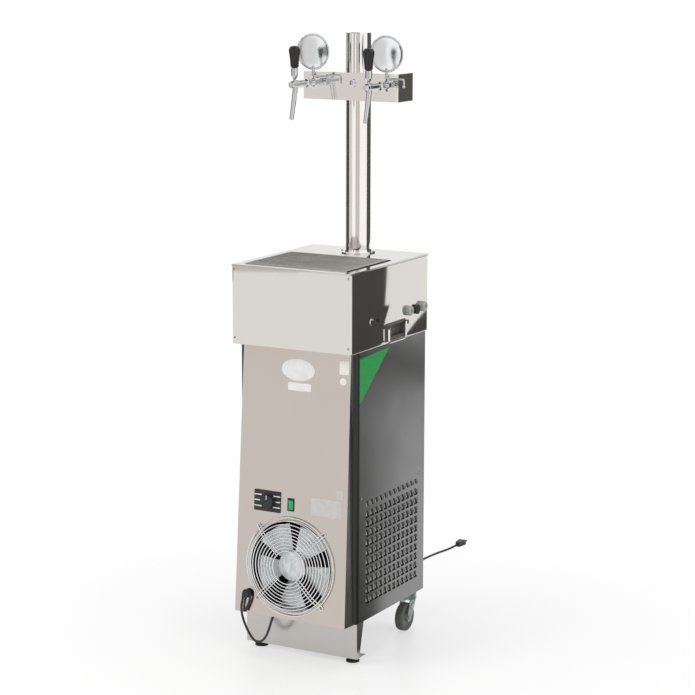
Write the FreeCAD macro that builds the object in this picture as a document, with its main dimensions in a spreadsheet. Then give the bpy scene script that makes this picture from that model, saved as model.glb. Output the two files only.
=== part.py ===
import FreeCAD, Part
import Sketcher
import math
import operator
import os

# Free-standing beer cooler: a wheeled cooling cabinet, a stainless head box with a drip tray,
# and a T-shaped column with two compensator taps.
# Millimetres. X is to the right, Y to the back, Z up. The origin is on the floor, under the
# middle of the cabinet.

OVERRUN = 5.0

SIZES = {
    # Sheet metal and clearances
    "wall": 1.2,
    "plate": 2.0,
    "play": 0.3,
    "run_play": 0.05,
    # Cabinet
    "cab_width": 372.0,
    "cab_front": 175.0,
    "cab_back": 235.0,
    "cab_foot": 123.0,
    "cab_high": 772.0,
    "corner_round": 12.0,
    "corner_return": 26.0,
    "rear_flange": 18.0,
    "pan_high": 25.0,
    "slot_long": 20.0,
    "slot_high": 7.0,
    "slot_pitch_y": 26.5,
    "slot_pitch_z": 27.6,
    "slot_rows": 11,
    "slot_columns": 12,
    "slot_first_y": -108.0,
    "slot_first_z": 173.0,
    "rear_slot_long": 200.0,
    "rear_slot_rows": 8,
    # Front cover, tilted a little backwards
    "cover_low_y": 226.0,
    "cover_low_z": 125.7,
    "cover_rise": 769.0,
    "cover_lean": 48.0,
    "cover_inset_low": 7.5,
    "cover_inset_top": 14.5,
    # Plinth and levelling feet
    "plinth_inset": 5.3,
    "plinth_y": 158.5,
    "plinth_low": 17.5,
    "return_top": 40.0,
    "return_low": 14.0,
    "shelf_deep": 52.0,
    "foot_inset": 36.0,
    "foot_y": 127.0,
    "foot_radius": 19.0,
    "foot_high": 10.0,
    "foot_stem": 4.0,
    "foot_stem_long": 42.0,
    # Castors
    "castor_inset": 40.0,
    "castor_y": 218.0,
    "castor_trail": 24.0,
    "castor_plate": 56.0,
    "race_radius": 24.0,
    "race_low": 97.0,
    "crown_high": 5.0,
    "wheel_radius": 41.5,
    "tread_wide": 24.0,
    "hub_radius": 13.0,
    "fork_gauge": 2.5,
    "axle_radius": 4.0,
    # Head box
    "head_overhang": 4.0,
    "head_front": 212.0,
    "head_back": 242.0,
    "head_low": 895.0,
    "head_high": 224.0,
    "skirt": 5.0,
    "skirt_gap": 1.0,
    "head_lip": 16.0,
    # Drip tray and grille
    "tray_inset": 33.0,
    "tray_front": 181.0,
    "tray_back": 60.0,
    "tray_deep": 25.0,
    "tray_rim": 6.0,
    "grille_rise": 1.5,
    "grille_frame": 7.0,
    "mesh_bar": 3.4,
    "mesh_columns": 12,
    "mesh_rows": 9,
    "drain_radius": 8.0,
    "drain_long": 18.0,
    # Carry handles on both sides
    "dish_y": 43.0,
    "dish_low": 903.0,
    "dish_long": 116.0,
    "dish_high": 49.0,
    "dish_deep": 13.0,
    "dish_flange": 7.0,
    "bail_long": 101.0,
    "bail_wire": 3.5,
    "bail_bend": 4.6,
    "bail_drop": 44.0,
    "bail_axis_z": 943.0,
    "bail_out": 7.0,
    "bail_round": 9.0,
    # Fittings on the right side of the head
    "coupling_z": 971.0,
    "coupling_one_y": 120.0,
    "coupling_two_y": 206.0,
    "coupling_radius": 14.0,
    "coupling_out": 13.0,
    "line_bore": 4.8,
    "plug_y": 167.0,
    "plug_z": 968.0,
    "plug_radius": 13.5,
    "plug_out": 8.0,
    "port_one_y": -97.0,
    "port_two_y": -57.0,
    "port_radius": 5.5,
    "port_out": 6.0,
    # Column and T-bar
    "column_y": 168.0,
    "tube_radius": 37.2,
    "tube_wall": 1.5,
    "tube_top": 1743.0,
    "cap_high": 3.0,
    "cap_skirt": 12.0,
    "flange_radius": 51.0,
    "flange_high": 3.0,
    "collar_high": 9.0,
    "flange_screw_y": 12.0,
    "flange_screw_out": 45.0,
    "bar_half": 152.7,
    "bar_front": 123.0,
    "bar_back": 210.0,
    "bar_drop": 187.0,
    "bar_high": 78.0,
    "bar_lid": 4.0,
    # Taps
    "tap_x": 118.0,
    "tap_up": 47.0,
    "tap_pivot_y": 13.0,
    "shank_radius": 12.0,
    "shank_nut": 18.0,
    "shank_nut_long": 7.0,
    "body_radius": 11.0,
    "body_waist": 8.5,
    "tap_nose_y": 7.0,
    "cap_radius": 10.0,
    "cap_long": 14.0,
    "spout_top_radius": 8.0,
    "spout_tip_radius": 6.0,
    "spout_bore": 3.5,
    "spout_lean": 25.0,
    "spout_drop": 97.0,
    "spout_start_y": 20.0,
    "ferrule_up": 13.0,
    "handle_up": 48.0,
    "ferrule_radius": 10.0,
    "stem_radius": 4.0,
    "lever_pin": 2.0,
    "handle_high": 60.0,
    "handle_top_radius": 16.5,
    "handle_low_radius": 11.5,
    "flute_count": 10,
    "flute_radius": 3.0,
    # Compensator lever on the right of each tap
    "comp_y": 90.0,
    "comp_up": 3.0,
    "comp_hub_radius": 8.0,
    "comp_hub_long": 14.0,
    "comp_rise": 17.0,
    "comp_reach": 50.0,
    "comp_drop": 20.0,
    "comp_wire": 2.6,
    "comp_tip": 4.2,
    # Medallions
    "disc_y": 122.0,
    "disc_radius": 52.0,
    "disc_thick": 8.0,
    "disc_rim": 4.0,
    "disc_dish": 1.2,
    "disc_stem": 4.0,
    "disc_stem_long": 20.7,
    # Controls on the cover: places are measured up the cover from its lower edge
    "plate_x": -80.5,
    "plate_up": 329.5,
    "plate_wide": 86.0,
    "plate_tall": 60.0,
    "plate_round": 3.0,
    "knob_x": -74.0,
    "knob_radius": 20.5,
    "knob_low_radius": 18.0,
    "knob_high": 15.0,
    "knob_shaft": 3.0,
    "rocker_x": -4.5,
    "rocker_up": 328.0,
    "bezel_wide": 21.0,
    "bezel_tall": 36.7,
    "bezel_out": 2.0,
    "rocker_wide": 15.0,
    "rocker_tall": 29.0,
    "rocker_out": 4.0,
    "rocker_pivot": 3.0,
    "rocker_pin": 1.5,
    # Fan
    "fan_up": 152.0,
    "opening_radius": 129.0,
    "ring_count": 11,
    "ring_first": 47.0,
    "ring_pitch": 9.3,
    "ring_wire": 1.5,
    "spoke_wire": 2.0,
    "spoke_pair": 9.0,
    "guard_rise": 14.0,
    "lug_radius": 6.0,
    "blade_count": 5,
    "blade_radius": 118.0,
    "blade_thick": 1.2,
    "blade_pitch": 26.0,
    "rotor_hub": 42.0,
    "rotor_deep": 22.0,
    "rotor_back": 30.0,
    "motor_radius": 40.0,
    "motor_long": 50.0,
    "motor_shaft": 4.0,
    "bracket_wide": 20.0,
    # Cooling set inside
    "condenser_wide": 300.0,
    "condenser_high": 260.0,
    "condenser_deep": 44.0,
    "condenser_y": -55.0,
    "fin_count": 20,
    "compressor_radius": 62.0,
    "compressor_high": 150.0,
    "compressor_x": -60.0,
    "compressor_y": 120.0,
    "tank_front": 140.0,
    "tank_back": 205.0,
    "tank_low": 480.0,
    "tank_high": 380.0,
    # Cords
    "cord_radius": 3.5,
    "gland_x": -120.0,
    "gland_z": 170.0,
    "gland_long": 32.0,
    "gland_radius": 9.0,
    "coil_x": -200.0,
    "coil_y": 400.0,
    "coil_mid_radius": 38.5,
    "coil_gap": 0.6,
    "plug_long": 38.0,
    "hose_radius": 3.5,
    "peg_x": -137.0,
    "peg_z": 180.5,
    "peg_radius": 6.4,
    "peg_rim": 11.2,
    # Screws
    "screw_radius": 4.5,
    "screw_head": 2.0,
}

doc = FreeCAD.newDocument("beer_cooler")
sheet = doc.addObject("Spreadsheet::Sheet", "Sizes")
for row, (alias, number) in enumerate(SIZES.items(), start=1):
    sheet.set("A%d" % row, alias)
    sheet.set("B%d" % row, str(number))
    sheet.setAlias("B%d" % row, alias)
doc.recompute()


class Length:
    """A size that knows its number and the sheet formula that it comes from."""

    def __init__(self, number, formula):
        self.number = float(number)
        self.formula = formula

    def __add__(self, other):
        return joined(self, "+", other)

    def __radd__(self, other):
        return joined(other, "+", self)

    def __sub__(self, other):
        return joined(self, "-", other)

    def __rsub__(self, other):
        return joined(other, "-", self)

    def __mul__(self, other):
        return joined(self, "*", other)

    def __rmul__(self, other):
        return joined(other, "*", self)

    def __truediv__(self, other):
        return joined(self, "/", other)

    def __rtruediv__(self, other):
        return joined(other, "/", self)

    def __neg__(self):
        return joined(0, "-", self)

    def __float__(self):
        return self.number


SIGNS = {"+": operator.add, "-": operator.sub, "*": operator.mul, "/": operator.truediv}


def as_length(value):
    if isinstance(value, Length):
        return value
    return Length(value, repr(float(value)))


def joined(first, sign, second):
    first = as_length(first)
    second = as_length(second)
    number = SIGNS[sign](first.number, second.number)
    return Length(number, "(%s %s %s)" % (first.formula, sign, second.formula))


def turned(name, angle):
    """Sine, cosine or tangent of an angle in degrees, as a number with its formula."""
    angle = as_length(angle)
    number = getattr(math, name)(math.radians(angle.number))
    return Length(number, "%s(%s * 1 deg)" % (name, angle.formula))


class Sizes:
    """The driving sizes, read from the sheet."""


S = Sizes()
for alias in SIZES:
    setattr(S, alias, Length(sheet.get(alias), "Sizes." + alias))

over = Length(OVERRUN, repr(OVERRUN))
parts = []
ORIGIN = (0, 0, 0)
UPRIGHT = FreeCAD.Rotation()


def bind(target, name, value):
    """Ties one size of an object to its sheet formula."""
    value = as_length(value)
    target.setExpression(name, value.formula)


def put(target, place, rotation=UPRIGHT):
    """Gives an object its place from sheet formulas, and its turn."""
    target.Placement = FreeCAD.Placement(FreeCAD.Vector(*[float(as_length(v)) for v in place]), rotation)
    for axis, value in zip("xyz", place):
        if isinstance(value, Length):
            bind(target, "Placement.Base." + axis, value)


def keep(name, target):
    """Names a finished sub-part."""
    target.Label = name
    parts.append((name, target))
    return target


def new_body(name, place=ORIGIN, rotation=UPRIGHT):
    body = doc.addObject("PartDesign::Body", name + "_body")
    put(body, place, rotation)
    return body


def origin_feature(body, role):
    return [item for item in body.Origin.OriginFeatures if item.Role == role][0]


def new_sketch(body, plane="XY_Plane", offset=0, name="outline"):
    sketch = body.newObject("Sketcher::SketchObject", name)
    sketch.AttachmentSupport = [(origin_feature(body, plane), "")]
    sketch.MapMode = "FlatFace"
    if isinstance(offset, Length):
        sketch.AttachmentOffset = FreeCAD.Placement(FreeCAD.Vector(0, 0, offset.number), UPRIGHT)
        bind(sketch, "AttachmentOffset.Base.z", offset)
    return sketch


def pin_point(sketch, geometry, point, x, y):
    """Holds a sketch point at its distances from the sketch's origin."""
    for kind, value in (("DistanceX", x), ("DistanceY", y)):
        value = as_length(value)
        index = sketch.addConstraint(
            Sketcher.Constraint(kind, -1, 1, geometry, point, value.number))
        if "Sizes" in value.formula:
            bind(sketch, "Constraints[%d]" % index, value)


def polygon(sketch, points):
    """A closed outline of straight edges, each corner held by its own sizes."""
    corners = [FreeCAD.Vector(float(as_length(x)), float(as_length(y)), 0) for x, y in points]
    first = sketch.GeometryCount
    count = len(points)
    for i in range(count):
        sketch.addGeometry(Part.LineSegment(corners[i], corners[(i + 1) % count]), False)
    for i in range(count):
        sketch.addConstraint(
            Sketcher.Constraint("Coincident", first + i, 2, first + (i + 1) % count, 1))
    for i, (x, y) in enumerate(points):
        pin_point(sketch, first + i, 1, x, y)


def rectangle(sketch, x0, x1, y0, y1):
    polygon(sketch, [(x0, y0), (x1, y0), (x1, y1), (x0, y1)])


def circle(sketch, x, y, radius):
    radius = as_length(radius)
    centre = FreeCAD.Vector(float(as_length(x)), float(as_length(y)), 0)
    index = sketch.addGeometry(Part.Circle(centre, FreeCAD.Vector(0, 0, 1), radius.number), False)
    pin_point(sketch, index, 3, x, y)
    row = sketch.addConstraint(Sketcher.Constraint("Radius", index, radius.number))
    bind(sketch, "Constraints[%d]" % row, radius)


def pad(body, sketch, length, reverse=False, both_ways=False):
    feature = body.newObject("PartDesign::Pad", "pad")
    feature.Profile = sketch
    feature.Length = as_length(length).number
    bind(feature, "Length", length)
    feature.Reversed = reverse
    feature.Midplane = both_ways
    body.Tip = feature
    return feature


def pocket(body, sketch, length, reverse=False, both_ways=False):
    feature = body.newObject("PartDesign::Pocket", "pocket")
    feature.Profile = sketch
    feature.Length = as_length(length).number
    bind(feature, "Length", length)
    feature.Reversed = reverse
    feature.Midplane = both_ways
    body.Tip = feature
    return feature


def revolve(body, sketch, kind="PartDesign::Revolution", axis="V_Axis", angle=360):
    feature = body.newObject(kind, "turn")
    feature.Profile = sketch
    feature.ReferenceAxis = (sketch, [axis])
    feature.Angle = angle
    body.Tip = feature
    return feature


def turning(name, points, place=ORIGIN, rotation=UPRIGHT):
    """A turned form: its outline is (radius, height) about the body's own Z axis."""
    body = new_body(name, place, rotation)
    sketch = new_sketch(body, "XZ_Plane")
    polygon(sketch, points)
    revolve(body, sketch)
    return body


def lathe(name, points, place=ORIGIN, rotation=UPRIGHT):
    """A sub-part that is one turned form."""
    return keep(name, turning(name, points, place, rotation))


def pattern(body, original, sketch, axis, pitch, count):
    """Repeats a feature along a sketch axis."""
    feature = body.newObject("PartDesign::LinearPattern", "row")
    feature.Originals = [original]
    feature.Direction = (sketch, [axis])
    feature.Mode = "Spacing"
    feature.Offset = as_length(pitch).number
    bind(feature, "Offset", pitch)
    feature.Occurrences = int(round(float(count)))
    body.Tip = feature
    return feature


def round_edges(body, radius, wanted):
    """Rounds the edges of the body's last feature that the test picks."""
    doc.recompute()
    tip = body.Tip
    names = ["Edge%d" % (i + 1) for i, edge in enumerate(tip.Shape.Edges) if wanted(edge)]
    feature = body.newObject("PartDesign::Fillet", "rounding")
    feature.Base = (tip, names)
    feature.Radius = as_length(radius).number
    bind(feature, "Radius", radius)
    body.Tip = feature
    return feature


def block(name, x0, x1, y0, y1, z0, z1):
    """A plain box between two corners."""
    box = doc.addObject("Part::Box", name + "_box")
    for size, low, high in (("Length", x0, x1), ("Width", y0, y1), ("Height", z0, z1)):
        span = as_length(high) - low
        setattr(box, size, span.number)
        bind(box, size, span)
    put(box, (as_length(x0), as_length(y0), as_length(z0)))
    return box


def rod(name, radius, length, place, rotation=UPRIGHT):
    cylinder = doc.addObject("Part::Cylinder", name + "_rod")
    cylinder.Radius = as_length(radius).number
    bind(cylinder, "Radius", radius)
    cylinder.Height = as_length(length).number
    bind(cylinder, "Height", length)
    put(cylinder, place, rotation)
    return cylinder


def cut(name, base, tools):
    """A base with tools taken away."""
    for number, tool in enumerate(tools):
        feature = doc.addObject("Part::Cut", "%s_cut%d" % (name, number))
        feature.Base = base
        feature.Tool = tool
        base = feature
    return base


def fused(name, shapes):
    feature = doc.addObject("Part::MultiFuse", name + "_fuse")
    feature.Shapes = shapes
    return feature


def group(name, shapes):
    feature = doc.addObject("Part::Compound", name + "_group")
    feature.Links = shapes
    return keep(name, feature)


def shaped(name, shape, place=None):
    """A sub-part whose shape is made directly, for forms with no feature of their own."""
    feature = doc.addObject("Part::Feature", name + "_form")
    feature.Shape = shape
    if place is not None:
        feature.Placement = place
    return keep(name, feature)


X_AXIS = FreeCAD.Vector(1, 0, 0)
Y_AXIS = FreeCAD.Vector(0, 1, 0)
Z_AXIS = FreeCAD.Vector(0, 0, 1)
QUARTER = 90
FACING_RIGHT = FreeCAD.Rotation(Y_AXIS, QUARTER)
FACING_LEFT = FreeCAD.Rotation(Y_AXIS, -QUARTER)
FACING_FRONT = FreeCAD.Rotation(X_AXIS, QUARTER)
FACING_BACK = FreeCAD.Rotation(X_AXIS, -QUARTER)
SIDES = {"left": -1, "right": 1}

# Cabinet values worked out from the sizes

cab_half = S.cab_width / 2
head_half = cab_half + S.head_overhang
cover_half_low = cab_half - S.cover_inset_low
cover_half_top = cab_half - S.cover_inset_top
plinth_half = cab_half - S.plinth_inset
foot_x = cab_half - S.foot_inset
castor_x = cab_half - S.castor_inset
tray_half = head_half - S.tray_inset
head_top = S.head_low + S.head_high
lean = Length(math.degrees(math.atan2(S.cover_lean.number, S.cover_rise.number)),
              "(atan2(Sizes.cover_lean; Sizes.cover_rise) / 1 deg)")
cover_long = Length(math.hypot(S.cover_lean.number, S.cover_rise.number),
                    "hypot(Sizes.cover_lean; Sizes.cover_rise)")
ON_COVER = FreeCAD.Rotation(X_AXIS, QUARTER - lean.number)


def on_cover(x, up, out=0):
    """A place on the cover: across, up along its face, and out from it."""
    y = -S.cover_low_y + up * turned("sin", lean) - out * turned("cos", lean)
    z = S.cover_low_z + up * turned("cos", lean) + out * turned("sin", lean)
    return (as_length(x), y, z)


def base_pan():
    """A shallow pan inside the side panels, its front corners rounded to theirs."""
    body = new_body("base_pan", (0, 0, S.cab_foot))
    inner = cab_half - S.wall
    front = -S.cab_front + S.wall
    back = S.cab_back - S.wall
    outline = new_sketch(body)
    rectangle(outline, -inner, inner, front, back)
    pad(body, outline, S.pan_high)
    round_edges(body, S.corner_round,
                lambda edge: is_upright_at(edge, inner, front) or is_upright_at(edge, -inner, front))
    doc.recompute()
    hollow = new_sketch(body, offset=S.plate, name="hollow")
    rectangle(hollow, S.corner_return - cab_half, cab_half - S.corner_return, front + S.wall,
              back - S.wall)
    pocket(body, hollow, S.pan_high, reverse=True)
    doc.recompute()
    ends = new_sketch(body, offset=S.plate, name="ends")
    rectangle(ends, S.wall - inner, inner - S.wall, front + S.corner_round, back - S.wall)
    pocket(body, ends, S.pan_high, reverse=True)
    keep("base_pan", body)


def side_panel(side):
    """A bent sheet: flat side, rounded front corner, and a short return behind the cover."""
    name = "side_panel_" + side
    sign = SIDES[side]
    body = new_body(name, (0, 0, S.cab_foot))
    sketch = new_sketch(body)
    outer = sign * cab_half
    inner = sign * (cab_half - S.wall)
    end = sign * (cab_half - S.corner_return)
    polygon(sketch, [(outer, -S.cab_front), (outer, S.cab_back), (inner, S.cab_back),
                     (inner, -S.cab_front + S.wall), (end, -S.cab_front + S.wall),
                     (end, -S.cab_front)])
    pad(body, sketch, S.cab_high)
    round_edges(body, S.corner_round, lambda edge: is_upright_at(edge, outer, -S.cab_front))
    round_edges(body, S.corner_round - S.wall,
                lambda edge: is_upright_at(edge, inner, -S.cab_front + S.wall))
    doc.recompute()
    slot_sketch = new_sketch(body, "YZ_Plane", name="slot")
    low_y = S.slot_first_y - S.slot_long / 2
    low_z = S.slot_first_z - S.cab_foot - S.slot_high / 2
    rectangle(slot_sketch, low_y, low_y + S.slot_long, low_z, low_z + S.slot_high)
    slot = pocket(body, slot_sketch, cab_half + over, reverse=(sign > 0))
    row = body.newObject("PartDesign::LinearPattern", "slots")
    row.Originals = [slot]
    row.Direction = (slot_sketch, ["H_Axis"])
    row.Direction2 = (slot_sketch, ["V_Axis"])
    row.Mode = "Spacing"
    row.Mode2 = "Spacing"
    row.Offset = S.slot_pitch_y.number
    row.Offset2 = S.slot_pitch_z.number
    bind(row, "Offset", S.slot_pitch_y)
    bind(row, "Offset2", S.slot_pitch_z)
    row.Occurrences = int(S.slot_columns.number)
    row.Occurrences2 = int(S.slot_rows.number)
    body.Tip = row
    keep(name, body)


def is_upright_at(edge, x, y):
    """True for the vertical straight edge at one corner."""
    ends = [vertex.Point for vertex in edge.Vertexes]
    near = S.wall.number / 4
    return len(ends) == 2 and all(
        math.hypot(p.x - float(as_length(x)), p.y - float(as_length(y))) < near for p in ends)


def rear_panel():
    """A sheet between the sides, with flanges forward along them, vents and a cord hole."""
    body = new_body("rear_panel", (0, 0, S.cab_foot + S.pan_high))
    sketch = new_sketch(body)
    outer = cab_half - S.wall
    inner = outer - S.wall
    front = S.cab_back - S.rear_flange
    polygon(sketch, [(-outer, S.cab_back), (-outer, front), (-inner, front),
                     (-inner, S.cab_back - S.wall), (inner, S.cab_back - S.wall), (inner, front),
                     (outer, front), (outer, S.cab_back)])
    pad(body, sketch, S.cab_high - S.pan_high)
    doc.recompute()
    vent = new_sketch(body, "XZ_Plane", name="rear_slot")
    half = S.rear_slot_long / 2
    low = S.slot_pitch_z * 2
    rectangle(vent, -half, half, low, low + S.slot_high)
    slot = pocket(body, vent, S.cab_back + over)
    pattern(body, slot, vent, "V_Axis", S.slot_pitch_z, S.rear_slot_rows)
    hole = new_sketch(body, "XZ_Plane", name="cord_hole")
    circle(hole, S.gland_x, S.gland_z - S.cab_foot - S.pan_high, S.gland_radius - S.wall)
    pocket(body, hole, S.cab_back + over)
    keep("rear_panel", body)


def front_cover():
    """A tapering tray with its open side to the back, cut along the cabinet's upright front."""
    body = new_body("front_cover", (0, -S.cover_low_y, S.cover_low_z), ON_COVER)
    depth = S.cover_low_y - S.cab_front
    low = cover_half_low
    top = cover_half_top
    outline = new_sketch(body)
    polygon(outline, [(-low, 0), (low, 0), (top, cover_long), (-top, cover_long)])
    pad(body, outline, depth + over, reverse=True)
    doc.recompute()
    hollow = new_sketch(body, offset=-S.wall, name="hollow")
    polygon(hollow, [(S.wall - low, -over), (low - S.wall, -over),
                     (top - S.wall, cover_long - S.wall), (S.wall - top, cover_long - S.wall)])
    pocket(body, hollow, depth + over * 2)
    doc.recompute()
    behind = new_sketch(body, "YZ_Plane", name="behind")
    slope = turned("tan", lean)
    seat = depth - S.run_play
    low_back = -seat / turned("cos", lean) - over * slope
    top_back = low_back + (cover_long + over * 2) * slope
    far = -depth - over * 2
    polygon(behind, [(-over, low_back), (cover_long + over, top_back), (cover_long + over, far),
                     (-over, far)])
    pocket(body, behind, low * 2 + over * 2, both_ways=True)
    holes = new_sketch(body, name="holes")
    circle(holes, 0, S.fan_up, S.opening_radius)
    circle(holes, S.knob_x, S.plate_up, S.knob_shaft + S.play)
    half_wide = S.rocker_wide / 2 + S.wall
    half_tall = S.rocker_tall / 2 + S.wall
    rectangle(holes, S.rocker_x - half_wide, S.rocker_x + half_wide, S.rocker_up - half_tall,
              S.rocker_up + half_tall)
    pocket(body, holes, S.wall + over)
    keep("front_cover", body)


def plinth():
    """A low front sheet with tapering side returns and a shelf for the levelling feet."""
    body = new_body("plinth", (0, 0, S.plinth_low))
    high = S.cab_foot - S.plinth_low
    half = plinth_half
    front = -S.plinth_y
    sketch = new_sketch(body)
    polygon(sketch, [(-half, front), (half, front), (half, front + S.return_top),
                     (half - S.wall, front + S.return_top), (half - S.wall, front + S.wall),
                     (S.wall - half, front + S.wall), (S.wall - half, front + S.return_top),
                     (-half, front + S.return_top)])
    pad(body, sketch, high)
    doc.recompute()
    taper = new_sketch(body, "YZ_Plane", name="taper")
    polygon(taper, [(front + S.return_low, 0), (front + S.return_top + over, 0),
                    (front + S.return_top + over, high), (front + S.return_top, high)])
    pocket(body, taper, half * 2 + over, both_ways=True)
    doc.recompute()
    shelf = new_sketch(body, name="shelf")
    rectangle(shelf, S.wall - half, half - S.wall, front + S.wall / 2, front + S.shelf_deep)
    for x in (-foot_x, foot_x):
        circle(shelf, x, -S.foot_y, S.foot_stem + S.run_play)
    pad(body, shelf, S.plate)
    top = new_sketch(body, offset=high - S.plate, name="top_flange")
    rectangle(top, S.wall - half, half - S.wall, front + S.wall / 2, front + S.return_top)
    pad(body, top, S.plate)
    keep("plinth", body)


def foot(side):
    """A levelling foot: a round pad on a threaded stem."""
    pad_radius = S.foot_radius
    neck = S.foot_radius / 2
    high = S.foot_high
    lathe("foot_" + side, [(0, 0), (pad_radius, 0), (pad_radius, high / 2), (neck, high),
                           (S.foot_stem, high), (S.foot_stem, high + S.foot_stem_long),
                           (0, high + S.foot_stem_long)],
          (SIDES[side] * foot_x, -S.foot_y, 0))


def castor(side):
    """A swivel castor: plate and race, crowned fork, axle and wheel."""
    x = SIDES[side] * castor_x
    y = S.castor_y
    hub_y = y - S.castor_trail
    half = S.castor_plate / 2
    plate = block("castor_plate_" + side, x - half, x + half, y - half, S.cab_back - S.wall,
                  S.cab_foot - S.plate, S.cab_foot)
    race = rod("castor_race_" + side, S.race_radius, S.cab_foot - S.plate - S.race_low,
               (x, y, S.race_low))
    keep("castor_plate_" + side, fused("castor_plate_" + side, [plate, race]))
    gap = S.tread_wide / 2 + S.plate + S.play
    fork = new_body("castor_fork_" + side, (x, y, 0))
    crown_low = S.race_low - S.play - S.crown_high
    crown = new_sketch(fork, offset=crown_low, name="crown")
    circle(crown, 0, 0, S.race_radius)
    pad(fork, crown, S.crown_high)
    doc.recompute()
    leg = new_sketch(fork, "YZ_Plane", name="legs")
    eye = S.hub_radius
    back = S.race_radius * turned("cos", 40)
    polygon(leg, [(-back, crown_low + S.play), (back, crown_low + S.play),
                  (-S.castor_trail + eye, S.wheel_radius - eye / 2),
                  (-S.castor_trail + eye / 2, S.wheel_radius - eye),
                  (-S.castor_trail - eye / 2, S.wheel_radius - eye),
                  (-S.castor_trail - eye, S.wheel_radius)])
    pad(fork, leg, (gap + S.fork_gauge) * 2, both_ways=True)
    doc.recompute()
    room = new_sketch(fork, "YZ_Plane", name="room")
    wide = S.race_radius * 3
    rectangle(room, -wide, wide, -over, crown_low)
    pocket(fork, room, gap * 2, both_ways=True)
    doc.recompute()
    eye_hole = new_sketch(fork, "YZ_Plane", name="eye")
    circle(eye_hole, -S.castor_trail, S.wheel_radius, S.axle_radius)
    pocket(fork, eye_hole, wide, both_ways=True)
    keep("castor_fork_" + side, fork)
    axle_half = gap + S.fork_gauge + S.plate
    head = S.axle_radius + S.plate
    leg_out = gap + S.fork_gauge
    lathe("castor_axle_" + side,
          [(0, -axle_half), (head, -axle_half), (head, -leg_out), (S.axle_radius, -leg_out),
           (S.axle_radius, leg_out), (head, leg_out), (head, axle_half), (0, axle_half)],
          (x, hub_y, S.wheel_radius), FACING_RIGHT)
    bore = S.axle_radius + S.run_play
    tread = S.tread_wide / 2
    hub = gap - S.play
    rim = S.wheel_radius * 0.72
    web = tread / 2
    lathe("castor_wheel_" + side,
          [(bore, -hub), (S.hub_radius, -hub), (S.hub_radius, -web), (rim, -web), (rim, -tread),
           (S.wheel_radius - S.plate, -tread), (S.wheel_radius, -web), (S.wheel_radius, web),
           (S.wheel_radius - S.plate, tread), (rim, tread), (rim, web), (S.hub_radius, web),
           (S.hub_radius, hub), (bore, hub)],
          (x, hub_y, S.wheel_radius), FACING_RIGHT)


# Head box

deck_low = head_top - S.skirt
dish_mid_z = S.dish_low + S.dish_high / 2
HEAD_FITTINGS = [
    (S.coupling_one_y, S.coupling_z, S.coupling_radius * 0.6),
    (S.coupling_two_y, S.coupling_z, S.coupling_radius * 0.6),
    (S.plug_y, S.plug_z, S.plug_radius * 0.6),
    (S.port_one_y, S.coupling_z, S.port_radius * 0.7),
    (S.port_two_y, S.coupling_z, S.port_radius * 0.7),
]


def head_layers(name, layers):
    """A wall of the head box, built of upright layers: height above its foot, rise, x and y."""
    body = new_body(name, (0, 0, S.head_low))
    for foot_up, rise, x0, x1, y0, y1 in layers:
        sketch = new_sketch(body, offset=foot_up, name="layer")
        rectangle(sketch, x0, x1, y0, y1)
        pad(body, sketch, rise)
        doc.recompute()
    return body


def head_shell():
    """Four welded sheets, open above and below, with a neck under the deck and a lip below."""
    rise = S.head_high - S.skirt - S.skirt_gap
    neck_foot = S.head_high - S.skirt * 3
    neck_rise = S.skirt * 3 - S.wall
    lip_back = S.head_lip + S.plate + S.skirt_gap
    lip_front = lip_back * 2
    seam = S.run_play
    walls = []
    for name, outer, way, lip in (("head_front", -S.head_front, 1, lip_front),
                                  ("head_back", S.head_back, -1, lip_back)):
        sheet_in = outer + S.wall * way
        neck_half = head_half - S.wall
        walls.append(head_layers(name, [
            (0, rise, -head_half, head_half, outer, sheet_in),
            (neck_foot, neck_rise, -neck_half, neck_half, sheet_in, sheet_in + S.wall * way),
            (0, S.wall, -neck_half, neck_half, outer + S.wall / 2 * way, outer + lip * way)]))
    front = -S.head_front + S.wall + seam
    back = S.head_back - S.wall - seam
    half_long = S.dish_long / 2 - S.dish_flange
    dish_foot = S.dish_low + S.dish_flange - S.head_low
    dish_top = S.dish_low + S.dish_high - S.dish_flange - S.head_low
    for side, sign in SIDES.items():
        sheet_in = sign * (head_half - S.wall)
        wall = head_layers("head_" + side, [
            (0, rise, sign * head_half, sheet_in, front, back),
            (neck_foot, neck_rise, sheet_in, sheet_in - S.wall * sign, front + S.wall,
             back - S.wall),
            (0, S.wall, sign * (head_half - S.wall / 2), sign * (head_half - lip_back),
             -S.head_front + lip_front + seam, S.head_back - lip_back - seam)])
        dish = new_sketch(wall, "YZ_Plane", name="dish_hole")
        rectangle(dish, S.dish_y - half_long, S.dish_y + half_long, dish_foot, dish_top)
        pocket(wall, dish, head_half + over, reverse=(sign > 0))
        walls.append(wall)
    doc.recompute()
    bores = new_sketch(walls[-1], "YZ_Plane", name="fitting_holes")
    for y, z, radius in HEAD_FITTINGS:
        circle(bores, y, z - S.head_low, radius)
    pocket(walls[-1], bores, head_half + over, reverse=True)
    group("head_shell", walls)


def top_deck():
    """The lid of the head box: a plate with a skirt, a tray opening and the column's hole."""
    body = new_body("top_deck", (0, 0, deck_low))
    skirt = new_sketch(body)
    rectangle(skirt, -head_half, head_half, -S.head_front, S.head_back)
    pad(body, skirt, S.skirt)
    doc.recompute()
    under = new_sketch(body, name="under")
    rectangle(under, S.wall - head_half, head_half - S.wall, S.wall - S.head_front,
              S.head_back - S.wall)
    pocket(body, under, S.skirt - S.wall, reverse=True)
    doc.recompute()
    holes = new_sketch(body, name="holes")
    rectangle(holes, -tray_half, tray_half, -S.tray_front, S.tray_back)
    circle(holes, 0, S.column_y, S.tube_radius - S.tube_wall)
    pocket(body, holes, S.skirt + over, reverse=True)
    keep("top_deck", body)


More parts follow.
